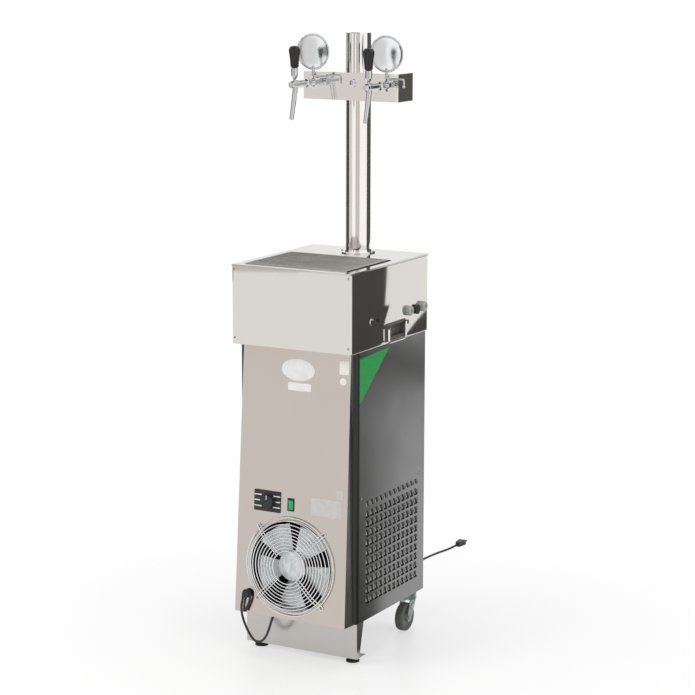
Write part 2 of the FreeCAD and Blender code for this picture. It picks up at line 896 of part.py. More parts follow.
def drip_tray():
    """A pan that hangs in the deck's opening by its rim, with a drain spigot."""
    body = new_body("drip_tray", (0, 0, head_top))
    out = tray_half + S.tray_rim
    front = -S.tray_front - S.tray_rim
    back = S.tray_back + S.tray_rim
    rim = new_sketch(body)
    rectangle(rim, -out, out, front, back)
    pad(body, rim, S.wall)
    doc.recompute()
    pan = new_sketch(body, name="pan")
    half = tray_half - S.play
    rectangle(pan, -half, half, S.play - S.tray_front, S.tray_back - S.play)
    pad(body, pan, S.tray_deep, reverse=True)
    doc.recompute()
    room = new_sketch(body, offset=S.wall, name="room")
    inner = half - S.wall
    rectangle(room, -inner, inner, S.play + S.wall - S.tray_front, S.tray_back - S.play - S.wall)
    pocket(body, room, S.tray_deep)
    doc.recompute()
    spigot = new_sketch(body, offset=-S.tray_deep, name="spigot")
    middle = (S.tray_back - S.tray_front) / 2
    circle(spigot, 0, middle, S.drain_radius)
    pad(body, spigot, S.drain_long, reverse=True)
    doc.recompute()
    drain = new_sketch(body, name="drain")
    circle(drain, 0, middle, S.drain_radius - S.wall)
    pocket(body, drain, S.tray_deep + S.drain_long + over)
    keep("drip_tray", body)


def drip_grille():
    """A lift-out grille: a frame round a mesh of crossing slanted bars, seen as diamond gaps."""
    body = new_body("drip_grille", (0, 0, head_top + S.wall))
    half = tray_half + S.tray_rim / 2
    front = -S.tray_front - S.tray_rim / 2
    back = S.tray_back + S.tray_rim / 2
    base = new_sketch(body)
    rectangle(base, -half, half, front, back)
    pad(body, base, S.grille_rise)
    doc.recompute()
    gap_x = (half * 2 - S.grille_frame * 2) / S.mesh_columns
    gap_y = (back - front - S.grille_frame * 2) / S.mesh_rows
    diamond = new_sketch(body, name="diamond")
    middle_x = S.grille_frame - half + gap_x / 2
    middle_y = front + S.grille_frame + gap_y / 2
    wide = gap_x / 2 - S.mesh_bar / 2
    tall = gap_y / 2 - S.mesh_bar / 2
    polygon(diamond, [(middle_x - wide, middle_y), (middle_x, middle_y - tall),
                      (middle_x + wide, middle_y), (middle_x, middle_y + tall)])
    gap = pocket(body, diamond, S.grille_rise + over, reverse=True)
    doc.recompute()
    row = body.newObject("PartDesign::LinearPattern", "diamonds")
    row.Originals = [gap]
    row.Direction = (diamond, ["H_Axis"])
    row.Direction2 = (diamond, ["V_Axis"])
    row.Mode = "Spacing"
    row.Mode2 = "Spacing"
    row.Offset = gap_x.number
    row.Offset2 = gap_y.number
    bind(row, "Offset", gap_x)
    bind(row, "Offset2", gap_y)
    row.Occurrences = int(S.mesh_columns.number)
    row.Occurrences2 = int(S.mesh_rows.number)
    body.Tip = row
    keep("drip_grille", body)


def handle(side):
    """A recessed dish in the head's wall, and a wire bail that hinges in its two ears."""
    sign = SIDES[side]
    face = FACING_RIGHT if sign > 0 else FACING_LEFT
    # In the dish's own frame Z points out of the wall, Y runs along it
    body = new_body("handle_dish_" + side, (sign * head_half, S.dish_y, dish_mid_z), face)
    half_long = S.dish_long / 2
    half_high = S.dish_high / 2
    flange = new_sketch(body)
    rectangle(flange, -half_high, half_high, -half_long, half_long)
    pad(body, flange, S.wall)
    doc.recompute()
    cup = new_sketch(body, name="cup")
    cup_high = half_high - S.dish_flange - S.play
    cup_long = half_long - S.dish_flange - S.play
    rectangle(cup, -cup_high, cup_high, -cup_long, cup_long)
    pad(body, cup, S.dish_deep, reverse=True)
    doc.recompute()
    room = new_sketch(body, offset=S.wall, name="room")
    rectangle(room, S.wall - cup_high, cup_high - S.wall, S.wall - cup_long, cup_long - S.wall)
    pocket(body, room, S.dish_deep)
    doc.recompute()
    # The ears stand out at the bail's axis; up is -X here on the right side, +X on the left
    axis_x = -sign * (S.bail_axis_z - dish_mid_z)
    ears = new_sketch(body, name="ears")
    ear = S.bail_wire + S.plate
    pivot_long = S.bail_long / 2
    for way in (-1, 1):
        low, high = sorted((way * (pivot_long + S.bail_bend + S.play), way * half_long),
                           key=float)
        rectangle(ears, axis_x - ear, axis_x + ear, low, high)
    pad(body, ears, S.bail_out + S.bail_wire + S.plate)
    doc.recompute()
    bores = new_sketch(body, "XZ_Plane", name="bores")
    circle(bores, axis_x, S.bail_out, S.bail_wire + S.run_play)
    pocket(body, bores, (half_long - S.plate) * 2, both_ways=True)
    keep("handle_dish_" + side, body)
    x = float(sign * (head_half + S.bail_out))
    top = S.bail_axis_z.number
    low = top - S.bail_drop.number
    middle = S.dish_y.number
    end = half_long.number - S.plate.number
    reach = pivot_long.number
    corner = S.bail_round.number
    bend = S.bail_bend.number
    path = round_path([(x, middle - end, top), (x, middle - reach, top), (x, middle - reach, low),
                       (x, middle + reach, low), (x, middle + reach, top), (x, middle + end, top)],
                      [bend, corner, corner, bend])
    shaped("handle_bail_" + side, pipe(path, S.bail_wire.number))


def round_path(points, radii):
    """A wire of straight runs with a tangent arc at each inner point."""
    points = [FreeCAD.Vector(*point) for point in points]
    edges = []
    start = points[0]
    for i, radius in enumerate(radii, start=1):
        before = (points[i] - points[i - 1]).normalize()
        after = (points[i + 1] - points[i]).normalize()
        turn = before.getAngle(after)
        back_off = radius * math.tan(turn / 2)
        first = points[i] - before * back_off
        last = points[i] + after * back_off
        inward = (after - before).normalize()
        middle = points[i] + inward * (radius / math.cos(turn / 2) - radius)
        if (first - start).Length > EQUAL:
            edges.append(Part.LineSegment(start, first).toShape())
        edges.append(Part.Arc(first, middle, last).toShape())
        start = last
    edges.append(Part.LineSegment(start, points[-1]).toShape())
    return Part.Wire(edges)


EQUAL = 1e-6


def pipe(path, radius):
    """A round bar along a path."""
    edge = path.OrderedEdges[0] if hasattr(path, "OrderedEdges") else path.Edges[0]
    start = edge.valueAt(edge.FirstParameter)
    along = edge.tangentAt(edge.FirstParameter)
    ring = Part.Wire(Part.Circle(start, along, radius).toShape())
    return path.makePipeShell([ring], True, False)


def side_fittings():
    """Couplings for the drink lines, a blanking plug and two small gas ports, on the right."""
    couplings = []
    inside = S.wall + S.plate * 3
    for y in (S.coupling_one_y, S.coupling_two_y):
        place = (head_half, y, S.coupling_z)
        shank = (head_half - inside, y, S.coupling_z)
        nut = rod("coupling_nut", S.coupling_radius, S.coupling_out, place, FACING_RIGHT)
        neck = rod("coupling_neck", S.coupling_radius * 0.6, inside + over, shank, FACING_RIGHT)
        solid = fused("coupling", [nut, neck])
        bore = rod("coupling_bore", S.line_bore, S.coupling_out + inside + over,
                   (head_half - S.wall, y, S.coupling_z), FACING_RIGHT)
        couplings.append(cut("coupling", solid, [bore]))
    group("inlet_couplings", couplings)
    ports = []
    plug = rod("plug_head", S.plug_radius, S.plug_out, (head_half, S.plug_y, S.plug_z),
               FACING_RIGHT)
    plug_neck = rod("plug_neck", S.plug_radius * 0.6, inside + over,
                    (head_half - inside, S.plug_y, S.plug_z), FACING_RIGHT)
    ports.append(fused("plug", [plug, plug_neck]))
    for y in (S.port_one_y, S.port_two_y):
        port = rod("port_head", S.port_radius, S.port_out, (head_half, y, S.coupling_z),
                   FACING_RIGHT)
        neck = rod("port_neck", S.port_radius * 0.7, inside + over,
                   (head_half - inside, y, S.coupling_z), FACING_RIGHT)
        ports.append(fused("port", [port, neck]))
    group("line_ports", ports)


# Column and T-bar

bore_radius = S.tube_radius - S.tube_wall
bar_low = S.tube_top - S.bar_drop
tap_z = bar_low + S.tap_up
comp_z = tap_z + S.comp_up
ferrule_low = tap_z + S.ferrule_up
ferrule_top = tap_z + S.handle_up
nut_top = tap_z + S.shank_nut + S.play
disc_z = nut_top + S.disc_stem_long + S.disc_radius - S.disc_rim


def column():
    """Base flange, tube and cap."""
    outer = S.tube_radius
    fit = outer + S.run_play
    lathe("column_flange",
          [(fit, 0), (S.flange_radius, 0), (S.flange_radius, S.flange_high),
           (fit + S.plate * 2, S.flange_high), (fit + S.plate, S.collar_high),
           (fit, S.collar_high)], (0, S.column_y, head_top))
    long = S.tube_top - head_top
    lathe("column_tube", [(bore_radius, 0), (outer, 0), (outer, long), (bore_radius, long)],
          (0, S.column_y, head_top))
    plug = bore_radius - S.play
    lathe("column_cap",
          [(0, 0), (plug - S.wall, 0), (plug - S.wall, -S.cap_skirt), (plug, -S.cap_skirt),
           (plug, 0), (outer, 0), (outer, S.cap_high / 2), (outer - S.cap_high / 2, S.cap_high),
           (0, S.cap_high)], (0, S.column_y, S.tube_top))


def tap_bar():
    """A box section that the column passes through, with holes for the tap shanks."""
    half = S.bar_half - S.bar_lid
    top = bar_low + S.bar_high
    outer = block("tap_bar", -half, half, S.bar_front, S.bar_back, bar_low, top)
    inner = block("tap_bar_inside", -half - over, half + over, S.bar_front + S.tube_wall,
                  S.bar_back - S.tube_wall, bar_low + S.tube_wall, top - S.tube_wall)
    tools = [inner, rod("tap_bar_bore", S.tube_radius + S.run_play, S.bar_high + over * 2,
                        (0, S.column_y, bar_low - over))]
    for sign in SIDES.values():
        tools.append(rod("shank_hole", S.body_waist + S.run_play, over * 2,
                         (sign * S.tap_x, S.bar_front + over, tap_z), FACING_FRONT))
    keep("tap_bar", cut("tap_bar", outer, tools))
    for side, sign in SIDES.items():
        low, high = sorted((sign * half, sign * S.bar_half), key=float)
        keep("bar_end_" + side, block("bar_end_" + side, low, high, S.bar_front, S.bar_back,
                                      bar_low, top))


def tap_body(side):
    """Shank, nut, compensator housing, waist and nose turned in one, with a leaning spout."""
    x = SIDES[side] * S.tap_x
    long = S.bar_front + S.tap_nose_y
    waist = S.body_waist
    body = new_body("tap_turning_" + side, (x, S.bar_front, tap_z), FACING_FRONT)
    sketch = new_sketch(body, "XZ_Plane")
    nose = long - S.cap_long
    housing = S.bar_front - S.comp_y + S.comp_hub_radius * 2
    polygon(sketch, [(0, -S.shank_nut), (waist, -S.shank_nut), (waist, 0), (S.shank_nut, 0),
                     (S.shank_nut, S.shank_nut_long), (S.shank_radius, S.shank_nut_long * 1.5),
                     (S.shank_radius, housing), (waist, housing + S.plate * 2),
                     (waist, housing + S.plate * 6), (S.body_radius, housing + S.plate * 8),
                     (S.body_radius, nose), (S.cap_radius - S.wall, nose + S.wall),
                     (S.cap_radius, nose + S.plate), (S.cap_radius, long - S.plate),
                     (S.cap_radius - S.plate, long), (0, long)])
    revolve(body, sketch)
    reach = math.hypot(S.spout_lean.number, S.spout_drop.number)
    down = FreeCAD.Vector(0, -S.spout_lean.number, -S.spout_drop.number)
    spout = doc.addObject("Part::Cone", "spout_" + side)
    bind(spout, "Radius1", S.spout_top_radius)
    bind(spout, "Radius2", S.spout_tip_radius)
    spout.Height = reach
    bind(spout, "Height", Length(reach, "hypot(Sizes.spout_lean; Sizes.spout_drop)"))
    turn = FreeCAD.Rotation(Z_AXIS, down)
    put(spout, (x, S.spout_start_y, tap_z), turn)
    boss = rod("comp_boss_" + side, S.comp_hub_radius + S.wall, S.shank_radius,
               (x, S.comp_y, comp_z), FACING_RIGHT)
    tap_bore = rod("spout_bore_" + side, S.spout_bore, S.spout_drop / 2,
                   (x, S.spout_start_y - S.spout_lean - S.spout_lean / 10,
                    tap_z - S.spout_drop - S.spout_drop / 10),
                   FreeCAD.Rotation(Z_AXIS, down * -1))
    half = S.stem_radius + S.play
    swing = S.body_radius + S.plate * 2
    slot = block("lever_slot_" + side, x - half, x + half, S.tap_pivot_y - swing,
                 S.tap_pivot_y + swing, tap_z - S.stem_radius - S.wall, tap_z + swing)
    spindle = rod("comp_bore_" + side, S.comp_hub_radius / 2 + S.run_play, S.shank_radius,
                  (x + S.shank_radius / 2, S.comp_y, comp_z), FACING_RIGHT)
    pin_hole = rod("pin_hole_" + side, S.lever_pin + S.run_play, swing * 2,
                   (x - swing, S.tap_pivot_y, tap_z), FACING_RIGHT)
    whole = fused("tap_body_" + side, [body, spout, boss])
    keep("tap_body_" + side, cut("tap_body_" + side, whole, [tap_bore, slot, spindle, pin_hole]))


def tap_lever(side):
    """A chrome ferrule on its stem, and the fluted black handle on top."""
    place = (SIDES[side] * S.tap_x, S.tap_pivot_y, tap_z)
    low = ferrule_low - tap_z + S.plate
    top = ferrule_top - tap_z
    stem = S.stem_radius
    ferrule = turning(
        "ferrule_" + side,
        [(0, -stem), (stem / 2, -stem), (stem, -stem / 2), (stem, low), (stem + S.wall, low),
         (S.ferrule_radius, low + S.ferrule_radius), (S.ferrule_radius, top - S.plate),
         (S.ferrule_radius - S.plate, top), (0, top)], place)
    pin_half = S.body_radius - S.wall
    pin = rod("lever_pin_" + side, S.lever_pin, pin_half * 2, (place[0] - pin_half, place[1], place[2]),
              FACING_RIGHT)
    keep("tap_ferrule_" + side, fused("tap_ferrule_" + side, [ferrule, pin]))
    body = new_body("handle_turning_" + side,
                    (place[0], place[1], ferrule_top))
    sketch = new_sketch(body, "XZ_Plane")
    high = S.handle_high
    foot_r = S.handle_low_radius
    head_r = S.handle_top_radius
    polygon(sketch, [(0, 0), (foot_r - S.plate, 0), (foot_r, S.plate),
                     (foot_r + (head_r - foot_r) * 0.35, high * 0.4), (head_r, high * 0.78),
                     (head_r - S.wall, high * 0.88), (head_r * 0.75, high * 0.96),
                     (head_r * 0.4, high), (0, high)])
    revolve(body, sketch)
    flutes = []
    outward = S.flute_radius * 0.6
    lean_out = math.degrees(math.atan2(head_r.number - foot_r.number, high.number * 0.78))
    for number in range(int(S.flute_count.number)):
        angle = number * 360 / S.flute_count
        across = foot_r + outward
        spin = FreeCAD.Rotation(Z_AXIS, angle.number) * FreeCAD.Rotation(Y_AXIS, lean_out)
        start = (place[0] + across * turned("cos", angle), place[1] + across * turned("sin", angle),
                 ferrule_top + S.plate * 2)
        flutes.append(rod("flute", S.flute_radius, high, start, spin))
    keep("tap_handle_" + side, cut("tap_handle_" + side, body, [fused("flutes_" + side, flutes)]))


def compensator(side):
    """A hub on a side spindle, with a bent wire arm and a ball tip."""
    x = SIDES[side] * S.tap_x
    hub = S.comp_hub_radius
    spindle = hub / 2
    start = S.shank_radius + S.play
    body = new_body("comp_hub_" + side, (x, S.comp_y, comp_z), FACING_RIGHT)
    sketch = new_sketch(body, "XZ_Plane")
    end = start + S.comp_hub_long
    polygon(sketch, [(0, S.shank_radius - over), (spindle, S.shank_radius - over),
                     (spindle, start), (hub, start), (hub, end - S.wall), (hub - S.wall, end),
                     (0, end)])
    revolve(body, sketch)
    middle = float(x) + start.number + S.comp_hub_long.number / 2
    y = S.comp_y.number
    z = comp_z.number
    far = middle + S.comp_reach.number
    top = z + S.comp_rise.number
    bend = S.comp_wire.number * 2
    path = round_path([(middle, y, z), (middle, y, top), (far, y, top),
                       (far, y, top - S.comp_drop.number)], [bend, bend])
    arm = doc.addObject("Part::Feature", "comp_arm_" + side)
    arm.Shape = pipe(path, S.comp_wire.number)
    tip = doc.addObject("Part::Sphere", "comp_tip_" + side)
    bind(tip, "Radius", S.comp_tip)
    put(tip, (far, S.comp_y, comp_z + S.comp_rise - S.comp_drop))
    keep("compensator_" + side, fused("compensator_" + side, [body, arm, tip]))


def medallion(side):
    """A round plate with a raised rim, on a short stem above the tap's nut."""
    x = SIDES[side] * S.tap_x
    body = new_body("disc_" + side, (x, S.disc_y, disc_z), FACING_FRONT)
    sketch = new_sketch(body, "XZ_Plane")
    thick = S.disc_thick
    rim = S.disc_radius - S.disc_rim
    polygon(sketch, [(0, 0), (S.disc_radius - S.wall, 0), (S.disc_radius, S.wall),
                     (S.disc_radius, thick - S.wall), (S.disc_radius - S.wall, thick),
                     (rim, thick), (rim - S.disc_dish, thick - S.disc_dish),
                     (0, thick - S.disc_dish)])
    revolve(body, sketch)
    stem = rod("disc_stem_" + side, S.disc_stem, S.disc_stem_long,
               (x, S.disc_y - S.disc_stem, nut_top))
    keep("medallion_" + side, fused("medallion_" + side, [body, stem]))


# Controls on the cover

def controls():
    """Thermostat plate and knob, rocker bezel and rocker."""
    plate = new_body("thermostat_plate", on_cover(S.plate_x, S.plate_up), ON_COVER)
    sketch = new_sketch(plate)
    half_wide = S.plate_wide / 2
    half_tall = S.plate_tall / 2
    rectangle(sketch, -half_wide, half_wide, -half_tall, half_tall)
    circle(sketch, S.knob_x - S.plate_x, 0, S.knob_shaft + S.play)
    pad(plate, sketch, S.plate)
    round_edges(plate, S.plate_round, lambda edge: is_corner_edge(edge, half_wide, half_tall))
    keep("thermostat_plate", plate)
    low = S.knob_low_radius
    high = S.knob_high
    lathe("thermostat_knob",
          [(0, -S.plate * 4), (S.knob_shaft, -S.plate * 4), (S.knob_shaft, 0), (S.knob_radius, 0),
           (S.knob_radius, S.plate), (low + S.wall, S.plate * 2), (low, high - S.plate),
           (low - S.plate, high), (0, high)],
          on_cover(S.knob_x, S.plate_up, S.plate + S.play), ON_COVER)
    bezel = new_body("rocker_bezel", on_cover(S.rocker_x, S.rocker_up), ON_COVER)
    rim = new_sketch(bezel)
    rectangle(rim, -S.bezel_wide / 2, S.bezel_wide / 2, -S.bezel_tall / 2, S.bezel_tall / 2)
    pad(bezel, rim, S.bezel_out)
    doc.recompute()
    sleeve = new_sketch(bezel, name="sleeve")
    wide = S.rocker_wide / 2 + S.play * 3
    tall = S.rocker_tall / 2 + S.play * 3
    rectangle(sleeve, -wide, wide, -tall, tall)
    deep = S.rocker_out * 3
    pad(bezel, sleeve, deep, reverse=True)
    doc.recompute()
    window = new_sketch(bezel, offset=-deep - over, name="window")
    wide = S.rocker_wide / 2 + S.play
    tall = S.rocker_tall / 2 + S.play
    rectangle(window, -wide, wide, -tall, tall)
    pocket(bezel, window, deep + S.bezel_out + over * 2, reverse=True)
    doc.recompute()
    pin_hole = new_sketch(bezel, "YZ_Plane", name="pin_hole")
    circle(pin_hole, 0, -S.rocker_pivot, S.rocker_pin + S.run_play)
    pocket(bezel, pin_hole, S.bezel_wide, both_ways=True)
    keep("rocker_bezel", bezel)
    turn = ON_COVER * FreeCAD.Rotation(X_AXIS, ROCKER_TILT)
    rocker = new_body("rocker", on_cover(S.rocker_x, S.rocker_up, -S.rocker_pivot), turn)
    side = new_sketch(rocker, "YZ_Plane")
    end = S.rocker_tall / 2 - S.play * 2
    top = S.rocker_out + S.plate
    belly = end * 0.72
    polygon(side, [(-end, top), (-belly, -S.rocker_out), (belly, -S.rocker_out), (end, top),
                   (0, top * 0.66)])
    pad(rocker, side, S.rocker_wide, both_ways=True)
    doc.recompute()
    pin = new_sketch(rocker, "YZ_Plane", name="pin")
    circle(pin, 0, 0, S.rocker_pin)
    pad(rocker, pin, S.rocker_wide + S.wall, both_ways=True)
    keep("rocker", rocker)


ROCKER_TILT = 7


def is_corner_edge(edge, half_x, half_y):
    """True for the edges along a plate's thickness at its outer corners."""
    ends = [vertex.Point for vertex in edge.Vertexes]
    near = S.wall.number / 4
    upright = len(ends) == 2 and abs(ends[0].z - ends[1].z) > near * 2
    return upright and all(
        abs(abs(p.x) - float(half_x)) < near and abs(abs(p.y) - float(half_y)) < near
        for p in ends)


# Fan

def fan_guard():
    """Wire rings on four pairs of spokes, each pair ending in a lug on the cover."""
    place = on_cover(0, S.fan_up)
    rings = new_body("guard_rings", place, ON_COVER)
    sketch = new_sketch(rings, "XZ_Plane")
    wire = S.ring_wire
    flat = S.spoke_wire * 2 + S.guard_rise
    edge_rings = 3
    last = S.ring_first
    for number in range(int(S.ring_count.number)):
        radius = S.ring_first + number * S.ring_pitch
        drop = max(0, number - (int(S.ring_count.number) - 1 - edge_rings)) / edge_rings
        level = flat + wire - S.guard_rise * drop
        polygon(sketch, [(radius - wire, level), (radius, level - wire), (radius + wire, level),
                         (radius, level + wire)])
        last = radius
    revolve(rings, sketch)
    pieces = [rings]
    bend = last - S.ring_pitch * edge_rings
    lug_at = last + wire * 2 + S.lug_radius
    for quarter in range(4):
        angle = 45 + quarter * 90
        spin = ON_COVER * FreeCAD.Rotation(Z_AXIS, angle)
        wires = []
        for way in (-1, 1):
            spoke = new_body("spoke", place, spin)
            offset = way * S.spoke_pair / 2 * -1
            side = new_sketch(spoke, "XZ_Plane", offset=offset, name="spoke_side")
            start = S.ring_first - wire * 2
            low = flat - S.spoke_wire
            foot_low = 0
            polygon(side, [(start, low), (bend, low), (lug_at, foot_low),
                           (lug_at, foot_low + S.spoke_wire), (last, flat - S.guard_rise),
                           (bend, flat), (start, flat)])
            pad(spoke, side, S.spoke_wire, both_ways=True)
            wires.append(spoke)
        middle = FreeCAD.Rotation(Z_AXIS, angle)
        x = lug_at * turned("cos", angle)
        up = S.fan_up + lug_at * turned("sin", angle)
        lug = rod("guard_lug", S.lug_radius, S.spoke_wire, on_cover(x, up), ON_COVER)
        pieces.append(fused("spoke_pair_%d" % quarter, wires + [lug]))
    group("fan_guard", pieces)


def blade(hub, tip, pitch_hub, pitch_tip, chord_hub, chord_tip, thick):
    """One twisted blade: three leaning sections, from inside the hub to the tip."""
    sections = []
    for share in (0, 0.5, 1):
        radius = hub + (tip - hub) * share
        pitch = math.radians(pitch_hub + (pitch_tip - pitch_hub) * share)
        chord = chord_hub + (chord_tip - chord_hub) * share
        along = FreeCAD.Vector(0, math.cos(pitch), math.sin(pitch))
        across = FreeCAD.Vector(0, -math.sin(pitch), math.cos(pitch))
        centre = FreeCAD.Vector(radius, 0, 0)
        corners = [centre + along * (chord / 2) * a + across * (thick / 2) * b
                   for a, b in ((-1, -1), (1, -1), (1, 1), (-1, 1))]
        sections.append(Part.makePolygon(corners + corners[:1]))
    return Part.makeLoft(sections, True, True)


def fan_rotor():
    """A hub cup with twisted blades, trimmed round at their tips."""
    deep = S.rotor_deep.number
    hub = S.rotor_hub.number
    wall = S.plate.number
    tip = S.blade_radius.number
    cup = Part.makeCylinder(hub, deep)
    inside = Part.makeCylinder(hub - wall, deep - wall)
    shaft = Part.makeCylinder(S.motor_shaft.number + wall, deep - wall)
    bore = Part.makeCylinder(S.motor_shaft.number + S.run_play.number, deep - wall)
    shape = cup.cut(inside).fuse(shaft).cut(bore)
    count = int(S.blade_count.number)
    whole_round = 2 * math.pi
    chord_hub = whole_round * hub / count * 0.78
    chord_tip = whole_round * tip / count * 0.74
    pitch = S.blade_pitch.number
    pitch_tip = math.degrees(math.asin(min(deep / chord_tip, math.sin(math.radians(pitch)))))
    pitch_hub = math.degrees(math.asin(min(deep * 0.9 / chord_hub, math.sin(math.radians(pitch)))))
    one = blade(hub - wall / 2, tip + wall, pitch_hub, pitch_tip, chord_hub, chord_tip,
                S.blade_thick.number)
    one.translate(FreeCAD.Vector(0, 0, deep / 2))
    rim = Part.makeCylinder(tip, deep * 2, FreeCAD.Vector(0, 0, -deep / 2))
    outside = rim.cut(Part.makeCylinder(hub - wall / 2, deep * 2, FreeCAD.Vector(0, 0, -deep / 2)))
    one = one.common(outside)
    for number in range(count):
        turned_blade = one.copy()
        turned_blade.rotate(FreeCAD.Vector(0, 0, 0), Z_AXIS, BLADE_START + number * 360 / count)
        shape = shape.fuse(turned_blade)
    place = FreeCAD.Placement(point(on_cover(0, S.fan_up, -S.rotor_back)), ON_COVER)
    shaped("fan_rotor", shape, place)


BLADE_START = 54


def point(place):
    return FreeCAD.Vector(*[float(as_length(value)) for value in place])


def fan_motor():
    """A round motor on a strap with two legs back to the condenser's frame."""
    gap = S.plate
    start = -S.rotor_back - gap
    body = new_body("motor", on_cover(0, S.fan_up, start), ON_COVER)
    sketch = new_sketch(body, "XZ_Plane")
    shaft = S.motor_shaft
    polygon(sketch, [(0, -S.motor_long), (S.motor_radius - S.plate, -S.motor_long),
                     (S.motor_radius, S.plate - S.motor_long), (S.motor_radius, -S.plate * 3),
                     (S.motor_radius - S.plate * 3, 0), (shaft, 0),
                     (shaft, S.rotor_deep - S.plate), (0, S.rotor_deep - S.plate)])
    revolve(body, sketch)
    rear = on_cover(0, S.fan_up, start - S.motor_long)
    half = S.condenser_wide / 2
    high = S.bracket_wide / 2
    strap_y = rear[1] - S.plate
    strap = block("strap", -half, half, strap_y, strap_y + S.plate * 2, rear[2] - high,
                  rear[2] + high)
    legs = []
    for sign in (-1, 1):
        low, high_x = sorted((sign * half, sign * (half - S.plate)), key=float)
        legs.append(block("leg", low, high_x, strap_y, S.condenser_y, rear[2] - high,
                          rear[2] + high))
    keep("fan_motor", fused("fan_motor", [body, strap] + legs))


# Cooling set

def cooling_set():
    """Finned condenser and compressor on the base, and the insulated water bath above."""
    floor = S.cab_foot + S.plate
    condenser = new_body("condenser", (0, S.condenser_y, floor))
    outline = new_sketch(condenser)
    half = S.condenser_wide / 2
    rectangle(outline, -half, half, 0, S.condenser_deep)
    pad(condenser, outline, S.condenser_high)
    doc.recompute()
    fins = new_sketch(condenser, name="fins")
    frame = S.plate * 5
    pitch = (S.condenser_wide - frame * 2) / S.fin_count
    rectangle(fins, frame - half, frame - half + pitch * 0.6, -over, S.condenser_deep / 3)
    groove = pocket(condenser, fins, S.condenser_high - frame, reverse=True)
    doc.recompute()
    pattern(condenser, groove, fins, "H_Axis", pitch, S.fin_count)
    keep("condenser", condenser)
    high = S.compressor_high
    radius = S.compressor_radius
    lathe("compressor",
          [(0, 0), (radius * 0.8, 0), (radius * 0.8, S.plate * 4), (radius, S.plate * 8),
           (radius, high * 0.62), (radius * 0.9, high * 0.82), (radius * 0.6, high * 0.95),
           (0, high)], (S.compressor_x, S.compressor_y, floor))
    inner = cab_half - S.wall - S.play
    keep("cooling_tank", block("cooling_tank", -inner, inner, -S.tank_front, S.tank_back,
                               S.tank_low, S.tank_low + S.tank_high))


# Cords

def biarc(edges, start, start_way, end, end_way):
    """Two tangent arcs from one point and direction to another."""
    span = end - start
    both = start_way + end_way
    a = 2 * (start_way.dot(end_way) - 1)
    b = -2 * span.dot(both)
    c = span.dot(span)
    if abs(a) < EQUAL:
        reach = -c / b
    else:
        reach = (-b - math.sqrt(b * b - 4 * a * c)) / (2 * a)
    first = start + start_way * reach
    second = end - end_way * reach
    joint = (first + second) * 0.5
    for low, corner, high in ((start, first, joint), (joint, second, end)):
        middle = (low + high) * 0.5
        rise = (corner - middle).Length
        half = (high - low).Length / 2
        sag = half * rise / (half + math.hypot(rise, half))
        way = (corner - middle).normalize()
        edges.append(Part.Arc(low, middle + way * sag, high).toShape())


COIL_TURNS_IN = 3
COIL_TURNS_OUT = 3.25
COIL_START = -90


def coil_point(turns):
    """A point of the coil after so many turns: spiral in, climb a layer, spiral out."""
    radius_cord = S.cord_radius.number
    pitch = radius_cord * 2 + S.coil_gap.number
    inward = min(turns, COIL_TURNS_IN)
    outward = max(0, turns - COIL_TURNS_IN)
    radius = S.coil_mid_radius.number + pitch * (COIL_TURNS_IN / 2 - inward + outward)
    climb_share = min(1, max(0, (turns - COIL_TURNS_IN) * 2 + 0.5))
    z = radius_cord + pitch * (1 - math.cos(math.pi * climb_share)) / 2
    angle = math.radians(COIL_START - turns * 360)
    return FreeCAD.Vector(S.coil_x.number + radius * math.cos(angle),
                          S.coil_y.number + radius * math.sin(angle), z)


def coil_way(turns):
    step = 0.001
    return (coil_point(turns + step) - coil_point(turns - step)).normalize()


def mains_coil():
    """The spare length of the mains cord, wound flat in two layers behind the cabinet."""
    total = COIL_TURNS_IN + COIL_TURNS_OUT
    steps = [number / 4 for number in range(int(total * 4) + 1)]
    points = [coil_point(turns) for turns in steps]
    ways = [coil_way(turns) for turns in steps]
    ways[0] = FreeCAD.Vector(-1, 0, 0)
    ways[-1] = FreeCAD.Vector(0, 1, 0)
    straight = S.cord_radius.number * 2
    edges = [Part.LineSegment(points[0] - ways[0] * straight, points[0]).toShape()]
    for i in range(len(points) - 1):
        biarc(edges, points[i], ways[i], points[i + 1], ways[i + 1])
    edges.append(Part.LineSegment(points[-1], points[-1] + ways[-1] * straight).toShape())
    path = Part.Wire(edges)
    shape = pipe(path, S.cord_radius.number)
    print_length("mains_coil", shape, path, S.cord_radius.number)
    samples = [coil_point(number / 48) for number in range(int(total * 48) + 1)]
    least = min((a - b).Length for i, a in enumerate(samples) for b in samples[i + 24:])
    print("mains_coil least gap", round(least - S.cord_radius.number * 2, 2))
    shaped("mains_coil", shape)
    return edges[0].Vertexes[0].Point, edges[-1].Vertexes[-1].Point


def print_length(name, shape, path, radius):
    share = shape.Volume / (math.pi * radius * radius * path.Length)
    print(name, "length", round(path.Length), "volume share", round(share, 4))


def cord(name, route, radius):
    """A round cord along a route of points, with the largest arcs that its runs allow."""
    vectors = [FreeCAD.Vector(*point_on_route) for point_on_route in route]
    radii = []
    for i in range(1, len(vectors) - 1):
        before = vectors[i] - vectors[i - 1]
        after = vectors[i + 1] - vectors[i]
        turn = before.getAngle(after)
        radii.append(0.45 * min(before.Length, after.Length) / math.tan(turn / 2))
    path = round_path(route, radii)
    shape = pipe(path, radius)
    print(name, "radii", [round(value) for value in radii])
    print_length(name, shape, path, radius)
    shaped(name, shape)


